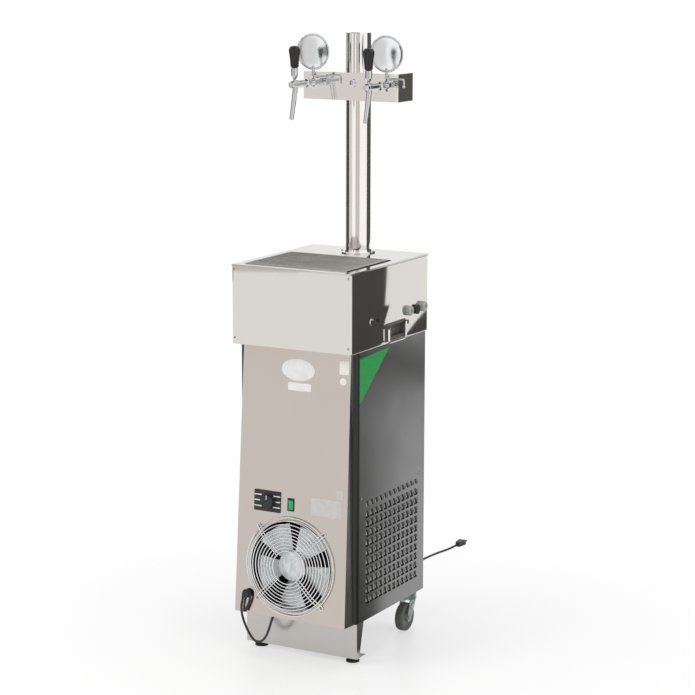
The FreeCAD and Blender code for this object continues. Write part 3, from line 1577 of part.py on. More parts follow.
def mains_cord():
    """The mains lead: gland, drop to the floor, spare coil, the long stretch and its plug."""
    radius = S.cord_radius.number
    start, end = mains_coil()
    neck = S.gland_radius - S.wall - S.play
    lathe("cord_gland",
          [(0, -S.plate * 3), (neck, -S.plate * 3), (neck, 0), (S.gland_radius + S.plate, 0),
           (S.gland_radius + S.plate, S.plate * 2), (S.gland_radius, S.plate * 2),
           (S.cord_radius + S.wall, S.gland_long), (0, S.gland_long)],
          (S.gland_x, S.cab_back, S.gland_z), FACING_BACK)
    gland_end = S.cab_back.number + S.gland_long.number
    drop = [(S.gland_x.number, gland_end, S.gland_z.number)] + DROP_ROUTE
    cord("mains_cord_drop", drop + [tuple(start)], radius)
    plug_y = LEAD_ROUTE[-1][1]
    cord("mains_cord_lead", [tuple(end)] + LEAD_ROUTE, radius)
    plug = new_body("mains_plug", (LEAD_ROUTE[-1][0], plug_y, LEAD_ROUTE[-1][2]), FACING_BACK)
    half = as_length(LEAD_ROUTE[-1][2])
    base = new_sketch(plug)
    wide = S.plug_long / 3
    rectangle(base, -wide * 0.6, wide * 0.6, -half, half)
    tip = new_sketch(plug, offset=S.plug_long, name="face")
    rectangle(tip, -wide, wide, -half, half)
    doc.recompute()
    loft = plug.newObject("PartDesign::AdditiveLoft", "loft")
    loft.Profile = base
    loft.Sections = [tip]
    plug.Tip = loft
    doc.recompute()
    pins = new_sketch(plug, offset=S.plug_long, name="pins")
    for sign in (-1, 1):
        circle(pins, sign * wide / 2, 0, S.plate)
    pad(plug, pins, S.plug_long / 2)
    keep("mains_plug", plug)


DROP_ROUTE = [
    (-120, 305, 168),
    (-119, 335, 130),
    (-117, 340, 85),
    (-119, 341, 48),
    (-131, 343, 18),
    (-164, 348, 3.5),
]
LEAD_ROUTE = [
    (-250, 446, 7),
    (-243, 492, 3.5),
    (-222, 560, 3.5),
    (-190, 628, 3.5),
    (-163, 700, 3.5),
    (-147, 775, 3.5),
    (-141, 845, 3.5),
    (-138, 912, 3.5),
    (-131, 972, 3.5),
    (-118, 1028, 4),
    (-113.5, 1072, 8),
]
HOSE_ROUTE = [
    (-57, -173.8, 137),
    (-57, -200, 137),
    (-58, -222, 118),
    (-62, -231, 91),
    (-72, -232, 65),
    (-89, -232, 47),
    (-110, -232, 46),
    (-126, -232, 64),
    (-141, -232, 89),
    (-151, -233, 117),
    (-153.5, -233, 146),
    (-148.2, -231.5, 167),
    (-147.8, -230.5, 191.8),
    (-124.2, -230.5, 191.8),
    (-124.8, -231.5, 167),
    (-131.5, -232.5, 148),
    (-139, -233.5, 131),
]


def drain_hose():
    """A thin hose that loops below the cover, up over its peg, and ends open."""
    cord("drain_hose", HOSE_ROUTE, S.hose_radius.number)
    peg = S.peg_radius
    long = S.hose_radius * 4
    rim = S.peg_rim
    up = S.peg_z - S.cover_low_z
    lathe("hose_peg",
          [(0, 0), (rim, 0), (rim, S.wall), (peg, S.wall), (peg, long), (rim, long),
           (rim - S.wall, long + S.plate), (0, long + S.plate)],
          on_cover(S.peg_x, up), ON_COVER)


# Screws

def screws():
    """Low round heads: flange, cover edges, head front and side panels."""
    heads = []
    radius = S.screw_radius
    for x in (-S.flange_screw_out, S.flange_screw_out):
        for y in (-S.flange_screw_y, S.flange_screw_y):
            heads.append(rod("screw", radius * 0.8, S.screw_head * 1.4,
                             (x, S.column_y + y, head_top + S.flange_high)))
    edge = radius * 2
    for sign in (-1, 1):
        for z in (S.head_low + edge * 2, head_top - edge * 1.5):
            heads.append(rod("screw", radius * 0.7, S.screw_head,
                             (sign * (head_half - edge), -S.head_front, z), FACING_FRONT))
    for sign, face in ((-1, FACING_LEFT), (1, FACING_RIGHT)):
        for y, z in ((S.cab_back - radius * 8, S.tank_low), (-S.cab_front + radius * 7, S.tank_low)):
            heads.append(rod("screw", radius, S.screw_head, (sign * cab_half, y, z), face))
    group("panel_screws", heads)


def build():
    """Makes every sub-part."""
    base_pan()
    rear_panel()
    front_cover()
    plinth()
    head_shell()
    top_deck()
    drip_tray()
    drip_grille()
    side_fittings()
    column()
    tap_bar()
    controls()
    fan_guard()
    fan_rotor()
    fan_motor()
    cooling_set()
    mains_cord()
    drain_hose()
    screws()
    for side in SIDES:
        side_panel(side)
        foot(side)
        castor(side)
        handle(side)
        tap_body(side)
        tap_lever(side)
        compensator(side)
        medallion(side)


def check_and_write():
    """Stops on any failed object, then writes each sub-part."""
    doc.recompute()
    faults = [item.Name for item in doc.Objects
              if "Invalid" in item.State or "Error" in item.State]
    for name, target in parts:
        if target.Shape.isNull() or not target.Shape.isValid() or not target.Shape.Solids:
            faults.append(name)
    if faults:
        raise RuntimeError("failed objects: " + ", ".join(faults))
    os.makedirs("parts", exist_ok=True)
    for name, target in parts:
        target.Shape.exportStep("parts/%s.step" % name)
    print(len(parts), "sub-parts written")


build()
check_and_write()
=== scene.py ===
# %% [markdown]
# # A beer cooler with a two-tap column
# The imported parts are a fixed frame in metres. Everything here dresses that frame: finishes for the parts
# whose shape is already right, and modelled pieces where the real one shows more than the part does.

# %% Frame
import bpy
import bmesh
import math
from mathutils import Matrix, Vector


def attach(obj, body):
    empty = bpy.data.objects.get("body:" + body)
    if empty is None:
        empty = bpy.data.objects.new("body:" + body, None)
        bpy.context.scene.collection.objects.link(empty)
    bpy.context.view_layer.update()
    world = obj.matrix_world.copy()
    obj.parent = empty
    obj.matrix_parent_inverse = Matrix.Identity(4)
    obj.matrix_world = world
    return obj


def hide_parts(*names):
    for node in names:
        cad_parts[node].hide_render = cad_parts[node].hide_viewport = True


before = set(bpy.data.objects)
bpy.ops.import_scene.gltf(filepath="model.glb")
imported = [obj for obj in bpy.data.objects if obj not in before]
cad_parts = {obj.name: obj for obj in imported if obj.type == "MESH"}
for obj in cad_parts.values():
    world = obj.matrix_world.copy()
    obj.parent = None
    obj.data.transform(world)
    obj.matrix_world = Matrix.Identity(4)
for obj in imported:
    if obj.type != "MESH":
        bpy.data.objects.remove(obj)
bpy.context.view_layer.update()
MM = 0.001
scene = bpy.context.scene

# %% [markdown]
# ## Camera
# A long lens from about six metres, a little above the drip tray and round to the right, keeps the tall
# cabinet's edges almost parallel, as a product photograph does.

# %% Camera
SENSOR_MM = 36.0
SEEN_TO = 100
LENS_MM = 114.2
EYE = Vector((3.0344, -5.3377, 2.0298))
LOOK_AT = Vector((0.0449, 0.0280, 0.8658))
ROLL_DEGREES = 0.11


def linked(name, data):
    """A new object in the scene for some data."""
    piece = bpy.data.objects.new(name, data)
    scene.collection.objects.link(piece)
    return piece


def looking(place, target):
    """The place and turn of what stands at one point and looks at another."""
    way = Vector(target) - Vector(place)
    return Matrix.Translation(place) @ way.to_track_quat("-Z", "Y").to_matrix().to_4x4()


camera_data = bpy.data.cameras.new("camera")
camera_data.sensor_width = SENSOR_MM
camera_data.lens = LENS_MM
camera_data.clip_end = SEEN_TO
camera = linked("camera", camera_data)
camera.matrix_world = looking(EYE, LOOK_AT) @ Matrix.Rotation(math.radians(ROLL_DEGREES), 4, "Z")
scene.camera = camera
print("camera", [round(v, 3) for v in camera.location])

# %% [markdown]
# ## Helpers for pieces
# A node's object sits at the origin with its place in its mesh, so every new piece is finished the same
# way: its place, turn and size go into the mesh, and the piece then rides on a body.

# %% Helpers for pieces
WELD = 0.000005


def only(piece):
    """Selects one object and makes it the active one."""
    bpy.ops.object.select_all(action="DESELECT")
    piece.select_set(True)
    bpy.context.view_layer.objects.active = piece


def mesh_piece(points, edges=(), faces=()):
    """An object made of points in metres, with the edges or faces between them."""
    piece = linked("piece", bpy.data.meshes.new("piece"))
    piece.data.from_pydata(points, edges, faces)
    return piece


def place_into_mesh(piece):
    only(piece)
    bpy.ops.object.transform_apply(location=True, rotation=True, scale=True)


def finish_piece(piece, name, material, replaces=(), smooth_degrees=35, body="cabinet"):
    """Names a piece, settles its place, gives it its finish and lets it ride on a body."""
    piece.name = name
    piece.data.name = name
    place_into_mesh(piece)
    if smooth_degrees:
        bpy.ops.object.shade_smooth_by_angle(angle=math.radians(smooth_degrees))
    piece.data.materials.clear()
    piece.data.materials.append(material)
    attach(piece, body)
    if replaces:
        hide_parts(*replaces)
    print(name, len(piece.data.polygons), "faces")
    return piece


def apply_modifier(piece, kind, **settings):
    """Adds a modifier with its settings and applies it."""
    only(piece)
    modifier = piece.modifiers.new(kind.lower(), kind)
    for key, value in settings.items():
        setattr(modifier, key, value)
    bpy.ops.object.modifier_apply(modifier=modifier.name)


def select_where(piece, kind, test=lambda item: True):
    """Selects only the vertices, edges or faces that pass a test, and stays in edit mode."""
    only(piece)
    bpy.ops.object.mode_set(mode="EDIT")
    bpy.ops.mesh.select_mode(type={"verts": "VERT", "edges": "EDGE", "faces": "FACE"}[kind])
    bpy.ops.mesh.select_all(action="DESELECT")
    mesh = bmesh.from_edit_mesh(piece.data)
    for item in getattr(mesh, kind):
        item.select = test(item)
    mesh.select_flush_mode()
    bmesh.update_edit_mesh(piece.data)


def faces_up_or_down(face):
    return abs(face.normal.z) > 0.9


def leave_edit():
    bpy.ops.object.mode_set(mode="OBJECT")


def face_outward(piece):
    select_where(piece, "faces")
    bpy.ops.mesh.normals_make_consistent(inside=False)
    leave_edit()


def rise(edge):
    """How far an edge climbs."""
    return abs(edge.verts[0].co.z - edge.verts[1].co.z)


def lathe(outline, segments, closed=False):
    """Turns an outline of (radius, height) in millimetres about the Z axis."""
    points = [(radius * MM, 0, height * MM) for radius, height in outline]
    edges = [(i, i + 1) for i in range(len(points) - 1)]
    if closed:
        edges.append((len(points) - 1, 0))
    piece = mesh_piece(points, edges)
    select_where(piece, "verts")
    bpy.ops.mesh.spin(steps=segments, angle=math.tau, center=(0, 0, 0), axis=(0, 0, 1))
    bpy.ops.mesh.select_all(action="SELECT")
    bpy.ops.mesh.remove_doubles(threshold=WELD)
    bpy.ops.mesh.normals_make_consistent(inside=False)
    leave_edit()
    return piece


def box_piece(low, high, bevel=0.0, segments=2):
    """A box between two corners, with its edges rounded."""
    low, high = Vector(low), Vector(high)
    bpy.ops.mesh.primitive_cube_add(size=1, location=(low + high) / 2)
    piece = bpy.context.object
    piece.scale = high - low
    place_into_mesh(piece)
    if bevel:
        apply_modifier(piece, "BEVEL", width=bevel, segments=segments, limit_method="ANGLE")
    return piece


def round_curve(name, kind, route, radius, fine):
    """A round curve along a route in millimetres; its points carry its radius."""
    curve = bpy.data.curves.new(name, "CURVE")
    curve.dimensions = "3D"
    curve.bevel_depth = 1
    curve.bevel_resolution = fine
    curve.use_fill_caps = True
    spline = curve.splines.new(kind)
    spline.points.add(len(route) - 1)
    for point, (x, y, z) in zip(spline.points, route):
        point.co = (x * MM, y * MM, z * MM, 1)
        point.radius = radius * MM
    return linked(name, curve)


def cut_with(piece, cutter):
    """Cuts a shape out of a piece, and throws the shape away."""
    apply_modifier(piece, "BOOLEAN", object=cutter, operation="DIFFERENCE", solver="EXACT")
    bpy.data.objects.remove(cutter)


def joined(pieces):
    """Several objects as one, each with its own closed surface."""
    bpy.ops.object.select_all(action="DESELECT")
    for piece in pieces:
        piece.select_set(True)
    bpy.context.view_layer.objects.active = pieces[0]
    bpy.ops.object.join()
    return pieces[0]


def copy_of(piece):
    """A copy with its own mesh."""
    twin = piece.copy()
    twin.data = piece.data.copy()
    scene.collection.objects.link(twin)
    return twin


def moved(piece, matrix):
    """Puts a turn and a place into a piece's mesh."""
    piece.data.transform(matrix)
    if matrix.determinant() < 0:
        piece.data.flip_normals()
    return piece


# %% [markdown]
# ## Helpers for finishes
# One small function adds a node with its settings and links. Colours are written as sRGB hex values and
# turned to the linear values that the shader wants.

# %% Helpers for finishes
def srgb(text):
    """A hex colour as linear red, green, blue and alpha."""
    values = [int(text[i:i + 2], 16) / 255 for i in (1, 3, 5)]
    linear = [v / 12.92 if v <= 0.04045 else ((v + 0.055) / 1.055) ** 2.4 for v in values]
    return (*linear, 1.0)


def add_node(tree, kind, settings=(), **links):
    """Adds a node; settings is (name or input, value) pairs, links maps an input to an output."""
    node = tree.nodes.new(kind)
    for key, value in settings:
        if isinstance(key, str) and hasattr(node, key):
            setattr(node, key, value)
        else:
            node.inputs[key].default_value = value
    for key, output in links.items():
        tree.links.new(output, node.inputs[key.replace("_", " ")])
    return node


def new_finish(name, colour, roughness, metallic=0.0):
    """A material with its surface shader, and the object's own coordinates."""
    material = bpy.data.materials.new(name)
    material.use_nodes = True
    tree = material.node_tree
    shader = tree.nodes["Principled BSDF"]
    shader.inputs["Base Color"].default_value = srgb(colour)
    shader.inputs["Roughness"].default_value = roughness
    shader.inputs["Metallic"].default_value = metallic
    place = tree.nodes.new("ShaderNodeTexCoord").outputs["Object"]
    return material, tree, shader, place


def stretched(tree, place, scale):
    """Coordinates pulled along an axis, so a noise becomes a grain."""
    return add_node(tree, "ShaderNodeMapping", [("Scale", scale)], Vector=place).outputs[0]


def noise(tree, place, size_mm, detail=3):
    """A noise whose lumps are about this many millimetres across."""
    return add_node(tree, "ShaderNodeTexNoise", [("Scale", 1 / (size_mm * MM)), ("Detail", detail)],
                    Vector=place).outputs[0]


def ramp(tree, value, low, high, from_low=0.35, from_high=0.65):
    """Spreads a noise's middle range over two numbers."""
    return add_node(tree, "ShaderNodeMapRange",
                    [(1, from_low), (2, from_high), (3, low), (4, high)], Value=value).outputs[0]


def blended(tree, share, first, second):
    """A mix of two colours by a value from 0 to 1."""
    node = add_node(tree, "ShaderNodeMix", [("data_type", "RGBA")])
    tree.links.new(share, node.inputs[0])
    node.inputs[6].default_value = srgb(first)
    node.inputs[7].default_value = srgb(second)
    return node.outputs[2]


def mixed_surfaces(tree, share, first, second):
    """A surface that is the first where the share is 0 and the second where it is 1."""
    mix = tree.nodes.new("ShaderNodeMixShader")
    for output, socket in zip((share, first, second), mix.inputs):
        tree.links.new(output, socket)
    return mix.outputs[0]


def bumped(tree, shader, height, depth_mm, strength=1.0):
    """Lets a height pattern tilt the surface."""
    bump = add_node(tree, "ShaderNodeBump", [("Strength", strength), ("Distance", depth_mm * MM)],
                    Height=height)
    tree.links.new(bump.outputs[0], shader.inputs["Normal"])

# %% [markdown]
# ## Mains cord and drain hose
# A cord is one smooth spline along the same route as the part's own tube: it leaves the gland at the back,
# drops to the floor, is wound there in a neat coil of two layers, and runs out behind the cabinet to its
# plug. The hose hangs from its port in one bend. A NURBS spline of order 3 stays inside the route's corners,
# so the coil's control points stand a little outside its turns.

# %% Mains cord and drain hose
CORD_RADIUS = 3.5
CORD_FINE = 3
SPLINE_ORDER, SPLINE_STEPS = 3, 6
COIL_CENTRE = (-200.0, 400.0)
COIL_MID_RADIUS = 38.5
COIL_PITCH = 7.6
TURNS_IN = 3
TURNS_OUT = 3.25
POINTS_PER_TURN = 16
GLAND_END = (-120, 267, 170)
DROP_ROUTE = [
    (-120, 305, 168), (-119, 335, 130), (-117, 340, 85), (-119, 341, 48), (-131, 343, 18),
    (-164, 348, 3.5),
]
LEAD_ROUTE = [
    (-250, 446, 7), (-243, 492, 3.5), (-222, 560, 3.5), (-190, 628, 3.5), (-163, 700, 3.5),
    (-147, 775, 3.5), (-141, 845, 3.5), (-138, 912, 3.5), (-131, 972, 3.5), (-118, 1028, 4),
    (-113.5, 1072, 8),
]
HOSE_ROUTE = [
    (-57, -173.8, 137), (-57, -200, 137), (-58, -222, 118), (-62, -231, 91), (-72, -232, 65),
    (-89, -232, 47), (-110, -232, 46), (-126, -232, 64), (-141, -232, 89), (-151, -233, 117),
    (-153.5, -233, 146), (-148.2, -231.5, 167), (-147.8, -230.5, 191.8), (-124.2, -230.5, 191.8),
    (-124.8, -231.5, 167), (-131.5, -232.5, 148), (-139, -233.5, 131),
]


def coil_point(turns):
    """Spirals in, climbs a layer in half a turn, and spirals out again."""
    inward = min(turns, TURNS_IN)
    outward = max(0, turns - TURNS_IN)
    radius = COIL_MID_RADIUS + COIL_PITCH * (TURNS_IN / 2 - inward + outward)
    radius /= math.cos(math.pi / POINTS_PER_TURN)
    climb = min(1, max(0, (turns - TURNS_IN) * 2 + 0.5))
    angle = math.radians(-90 - turns * 360)
    return (COIL_CENTRE[0] + radius * math.cos(angle), COIL_CENTRE[1] + radius * math.sin(angle),
            CORD_RADIUS + COIL_PITCH * (1 - math.cos(math.pi * climb)) / 2)


def spline_cord(name, route):
    """A cord on one open NURBS spline through its route."""
    piece = round_curve(name, "NURBS", route, CORD_RADIUS, CORD_FINE)
    spline = piece.data.splines[0]
    spline.order_u = SPLINE_ORDER
    spline.use_endpoint_u = True
    spline.resolution_u = SPLINE_STEPS
    return piece


coil_steps = range(int((TURNS_IN + TURNS_OUT) * POINTS_PER_TURN) + 1)
coil_route = [coil_point(step / POINTS_PER_TURN) for step in coil_steps]
mains_cord = spline_cord("mains_cord", [GLAND_END] + DROP_ROUTE + coil_route + LEAD_ROUTE)
drain_hose = spline_cord("drain_tube", HOSE_ROUTE)
for piece, nodes in ((mains_cord, ("mains_cord_drop", "mains_coil", "mains_cord_lead")),
                     (drain_hose, ("drain_hose",))):
    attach(piece, "cabinet")
    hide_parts(*nodes)
print("coil points", len(coil_route))

# %% [markdown]
# ## Sheet steel
# The head box, cover and plinth are stainless sheet. Rolling and brushing leave a very fine grain along the
# sheet, which stretches highlights and breaks up what the sheet mirrors. The real grain is about a tenth of
# a millimetre wide, too fine to show here, so the streaks are about a millimetre wide and very faint.
# A slow change of roughness stands for the oil canning and hand marks that flat sheet always has.

# %% Sheet steel
GRAIN_MM = 1.1
GRAIN_LONG_MM = 90
HAND_MARK_MM = 140
STREAK_SHARE, MARK_SHARE = 0.35, 0.65


def brushed_stainless(name, colour, low, high, along="z", grain=0.02):
    """Satin sheet steel: a grain along one axis and slow changes of gloss."""
    material, tree, shader, place = new_finish(name, colour, low, metallic=1)
    squeeze = GRAIN_MM / GRAIN_LONG_MM
    scale = {"x": (squeeze, 1, 1), "y": (1, squeeze, 1), "z": (1, 1, squeeze)}[along]
    streaks = noise(tree, stretched(tree, place, scale), GRAIN_MM, detail=2)
    marks = noise(tree, place, HAND_MARK_MM, detail=4)
    slow = add_node(tree, "ShaderNodeMath", [("operation", "MULTIPLY"), (1, MARK_SHARE)], Value=marks)
    both = add_node(tree, "ShaderNodeMath", [("operation", "MULTIPLY_ADD"), (1, STREAK_SHARE)],
                    Value=streaks)
    tree.links.new(slow.outputs[0], both.inputs[2])
    tree.links.new(ramp(tree, both.outputs[0], low, high), shader.inputs["Roughness"])
    bumped(tree, shader, streaks, grain)
    return material


def mirror_steel(name, colour, low=0.03, high=0.07, wave=0.05):
    """Polished sheet or tube: a mirror with the faint waves and wipe marks of buffing."""
    material, tree, shader, place = new_finish(name, colour, low, metallic=1)
    marks = noise(tree, place, HAND_MARK_MM / 4, detail=5)
    tree.links.new(ramp(tree, marks, low, high), shader.inputs["Roughness"])
    bumped(tree, shader, noise(tree, place, HAND_MARK_MM / 2, detail=1), wave, strength=0.6)
    return material


HEAD_STEEL = brushed_stainless("satin_stainless_head", "#d9d6d0", 0.04, 0.07, grain=0.002)
COVER_STEEL = brushed_stainless("brushed_stainless_cover", "#c6beb6", 0.14, 0.24, grain=0.008)
PLINTH_STEEL = brushed_stainless("brushed_stainless_plinth", "#c2bfbb", 0.2, 0.24, along="x", grain=0.003)
DECK_STEEL = mirror_steel("polished_stainless_deck", "#cccbc5", 0.06, 0.12)
TUBE_STEEL = mirror_steel("mirror_stainless_tube", "#f6f2ee", 0.05, 0.08, wave=0.01)
CHROME = mirror_steel("bright_chrome_plate", "#d3d5d5", 0.03, 0.08)
GUARD_CHROME = mirror_steel("chrome_plated_wire", "#ececec", 0.06, 0.14)
GRILLE_STEEL = brushed_stainless("expanded_stainless_mesh", "#c4c0ba", 0.2, 0.3, along="x")
print("steels", HEAD_STEEL.name, COVER_STEEL.name, TUBE_STEEL.name)

# %% [markdown]
# ## Enamel, plating, plastics and rubber
# The cabinet's sides are stoved powder enamel: black, half glossy, with the fine orange peel that powder
# leaves when it flows out. Zinc plate is a dull metal with patches of crystal. Moulded plastics get a fine
# spark-eroded texture, and rubber is matt.

# %% Enamel, plating, plastics and rubber
PEEL_MM = 1.6
SPARK_MM = 0.7
TONE_SPREAD = 12


def powder_enamel(name, colour, low, high, ior=1.5, depth=0.02):
    """Stoved powder coat: gloss over a lumpy skin; flake in it raises what it mirrors."""
    material, tree, shader, place = new_finish(name, colour, low)
    shader.inputs["IOR"].default_value = ior
    bumped(tree, shader, noise(tree, place, PEEL_MM, detail=2), depth)
    tree.links.new(ramp(tree, noise(tree, place, HAND_MARK_MM, detail=4), low, high),
                   shader.inputs["Roughness"])
    return material


def moulded(name, colour, second, low, high, grit_mm=SPARK_MM, depth=0.01):
    """Moulded plastic or rubber: two near tones, a fine texture, an uneven gloss."""
    material, tree, shader, place = new_finish(name, colour, low)
    tone = noise(tree, place, grit_mm * TONE_SPREAD, detail=3)
    tree.links.new(blended(tree, ramp(tree, tone, 0, 1), colour, second), shader.inputs["Base Color"])
    grit = noise(tree, place, grit_mm, detail=2)
    tree.links.new(ramp(tree, grit, low, high), shader.inputs["Roughness"])
    bumped(tree, shader, grit, depth)
    return material


def plated_zinc(name, colour, second, low=0.3, high=0.5, crystal_mm=6, metallic=0.9):
    """Zinc or plain aluminium: dull metal with soft crystal patches."""
    material, tree, shader, place = new_finish(name, colour, low, metallic=metallic)
    cells = add_node(tree, "ShaderNodeTexVoronoi", [("Scale", 1 / (crystal_mm * MM))], Vector=place)
    spread = add_node(tree, "ShaderNodeSeparateColor", Color=cells.outputs["Color"]).outputs[0]
    tree.links.new(blended(tree, spread, colour, second), shader.inputs["Base Color"])
    tree.links.new(ramp(tree, spread, low, high, 0, 1), shader.inputs["Roughness"])
    bumped(tree, shader, noise(tree, place, crystal_mm / 4), 0.01)
    return material


SIDE_ENAMEL = powder_enamel("black_powder_enamel", "#1b1c1b", 0.16, 0.22, ior=3.1, depth=0.004)
# Darker and duller than the sides' enamel: painted shade and dark reflection at the rolled front corners
CORNER_SHADE_ENAMEL = powder_enamel("black_enamel_painted_corner_shade", "#121211", 0.3, 0.4)
DARK_ENAMEL = powder_enamel("black_stoved_enamel", "#191919", 0.35, 0.5)
ZINC = plated_zinc("zinc_plate", "#b4bcbc", "#8f9797")
ROLLED_ALUMINIUM = plated_zinc("rolled_aluminium", "#d6dadb", "#c2c7c9", 0.22, 0.34, 14, 0.85)
RUBBER = moulded("black_rubber", "#1a1a19", "#242423", 0.6, 0.8)
TYRE = moulded("grey_castor_tyre", "#565754", "#626360", 0.55, 0.75)
HUB_PLASTIC = moulded("grey_castor_hub", "#6d6f6c", "#7a7c79", 0.4, 0.5)
PALE_PLASTIC = moulded("pale_coupling_plastic", "#a3a6a4", "#b0b2b0", 0.4, 0.5)
BLACK_PLASTIC = moulded("black_moulded_plastic", "#1b1b1b", "#232323", 0.38, 0.5)
GLOSS_BLACK = moulded("glossy_black_phenolic", "#171615", "#201e1c", 0.12, 0.2, 1.5, 0.003)
GREY_PLASTIC = moulded("brown_grey_dish_plastic", "#5f5953", "#4f4a45", 0.25, 0.35)
GREEN_PLASTIC = moulded("green_rocker_plastic", "#159a57", "#1fae66", 0.12, 0.2, 1.5, 0.003)
FOAM_CASE = moulded("foam_tank_case", "#2b2b2b", "#343434", 0.6, 0.7)
CORD_JACKET = moulded("cord_jacket_vinyl", "#1c1b1a", "#262523", 0.42, 0.55)
FACE_GLOSS = mirror_steel("polished_medallion_plate", "#f2f5f6", 0.16, 0.22, wave=0.0)
MATT_LABEL = moulded("matt_label_foil", "#e4e3df", "#dddcd8", 0.3, 0.4, 1.2, 0.004)
CLEAR_LABEL = moulded("clear_label_foil", "#c4c2be", "#bdbbb7", 0.25, 0.35, 1.2, 0.004)
FILTER_FOAM = moulded("black_filter_foam", "#0e0e0e", "#171717", 0.8, 0.95, 2.0, 0.2)
GREEN_LABEL = moulded("green_label_film", "#12903f", "#1b9a4a", 0.22, 0.3, 1.2, 0.003)

# %% [markdown]
# ## Finishes for the parts
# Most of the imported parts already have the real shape, so they only need the finish of the real piece. One
# table says which part is made of what. A part that is shown by a modelled piece later is hidden there.

# %% Finishes for the parts
def pair(name):
    return f"{name}_left", f"{name}_right"


NODE_FINISHES = {
    HEAD_STEEL: ("head_shell",),
    COVER_STEEL: ("front_cover",),
    PLINTH_STEEL: ("plinth",),
    DECK_STEEL: ("top_deck", "drip_tray", "drip_grille"),
    TUBE_STEEL: ("column_tube", "column_cap", "column_flange", "tap_bar", *pair("bar_end"),
                 "panel_screws"),
    GUARD_CHROME: pair("handle_bail"),
    CHROME: (*pair("tap_body"), *pair("tap_ferrule"), *pair("compensator"), *pair("medallion"),
             "fan_guard"),
    SIDE_ENAMEL: (*pair("side_panel"), "rear_panel"),
    # The condenser's black is its own enamel and also painted shade for the cabinet's inside, seen between
    # the fan blades
    DARK_ENAMEL: ("fan_motor", "compressor", "condenser"),
    ZINC: ("base_pan", *pair("castor_plate"), *pair("castor_fork"), *pair("castor_axle")),
    ROLLED_ALUMINIUM: ("fan_rotor",),
    RUBBER: pair("foot"),
    TYRE: pair("castor_wheel"),
    BLACK_PLASTIC: ("thermostat_plate", "thermostat_knob", "rocker_bezel", "line_ports", "hose_peg",
                    "cord_gland"),
    GLOSS_BLACK: pair("tap_handle"),
    GREY_PLASTIC: (*pair("handle_dish"), "inlet_couplings"),
    GREEN_PLASTIC: ("rocker",),
    FOAM_CASE: ("cooling_tank",),
    CORD_JACKET: ("mains_plug",),
}
for material, names in NODE_FINISHES.items():
    for node_name in names:
        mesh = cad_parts[node_name].data
        mesh.materials.clear()
        mesh.materials.append(material)
for piece in (mains_cord, drain_hose):
    piece.data.materials.append(CORD_JACKET)
print("finished parts", sum(len(names) for names in NODE_FINISHES.values()))

# %% [markdown]
# ## Places on the object
# Many pieces sit on the tilted cover or on a side. Each is made in its own upright frame, and these matrices
# move it to its place.

# %% Places on the object
COVER_BACK, COVER_TALL = 48, 769
LEAN = math.atan2(COVER_BACK, COVER_TALL)
COVER_LOW = (0, -226, 125.7)
UP_COVER = Vector((0, math.sin(LEAN), math.cos(LEAN)))
OUT_OF_COVER = Vector((0, -math.cos(LEAN), math.sin(LEAN)))
COVER_TURN = Matrix((Vector((1, 0, 0)), UP_COVER, OUT_OF_COVER)).transposed().to_4x4()
QUARTER = math.radians(90)
FACING_RIGHT = Matrix.Rotation(QUARTER, 4, "Y")
FACING_LEFT = Matrix.Rotation(-QUARTER, 4, "Y")
FACING_FRONT = Matrix.Rotation(QUARTER, 4, "X")
SIDES = {"left": -1, "right": 1}
SIDE_X = 186


def mm(x, y, z):
    """A place given in millimetres."""
    return Vector((x, y, z)) * MM


def at(x, y, z, turn=Matrix.Identity(4)):
    return Matrix.Translation(mm(x, y, z)) @ turn


def on_cover(x, up, out=0):
    """A place and turn on the cover: across, up along its face and out from it."""
    return Matrix.Translation(mm(*COVER_LOW)) @ COVER_TURN @ Matrix.Translation(mm(x, up, out))


def wire(route, radius, fine=2):
    """A round wire along straight runs, as a mesh."""
    only(round_curve("wire", "POLY", route, radius, fine))
    bpy.ops.object.convert(target="MESH")
    return bpy.context.object


print("cover leans", round(math.degrees(LEAN), 2))

# %% [markdown]
# ## Head box
# The head is folded from thin sheet, and a folded edge is round, not sharp. That small round catches light
# as a bright line down each corner, which is what makes it look like sheet metal. So the shell is modelled
# again: a box without top and bottom, its upright edges bevelled, a lip folded in below, a neck folded in
# above, and then given its thickness. The dish openings are cut with booleans.

# %% Head box
HEAD_LOW, HEAD_HIGH = (-190, -212, 895), (190, 242, 1113)
HEAD_FOLD, FOLD_STEPS = 6, 5
SHEET = 1.2
HEM, HEM_STEPS = 3.0, 4
LIP = 16
NECK_TOP, NECK_GAP = 1117.8, 0.2
DISH_HOLE = ((170, -8, 910), (200, 94, 945))
NEAR = 0.0002


def lies_at(edge, level):
    return all(abs(vertex.co.z - level * MM) < NEAR for vertex in edge.verts)


def drawn_in(level, inward):
    """Scales the selected loop inward by this many millimetres on every side."""
    half_x = HEAD_HIGH[0]
    half_y = (HEAD_HIGH[1] - HEAD_LOW[1]) / 2
    middle_y = (HEAD_HIGH[1] + HEAD_LOW[1]) / 2
    bpy.ops.transform.resize(value=((half_x - inward) / half_x, (half_y - inward) / half_y, 1),
                             center_override=mm(0, middle_y, level))


def fold_rim(level, inward):
    """Draws the open rim at a level inward as a new strip of sheet."""
    select_where(shell, "edges", lambda edge: edge.is_boundary and lies_at(edge, level))
    bpy.ops.mesh.extrude_region_move()
    drawn_in(level, inward)


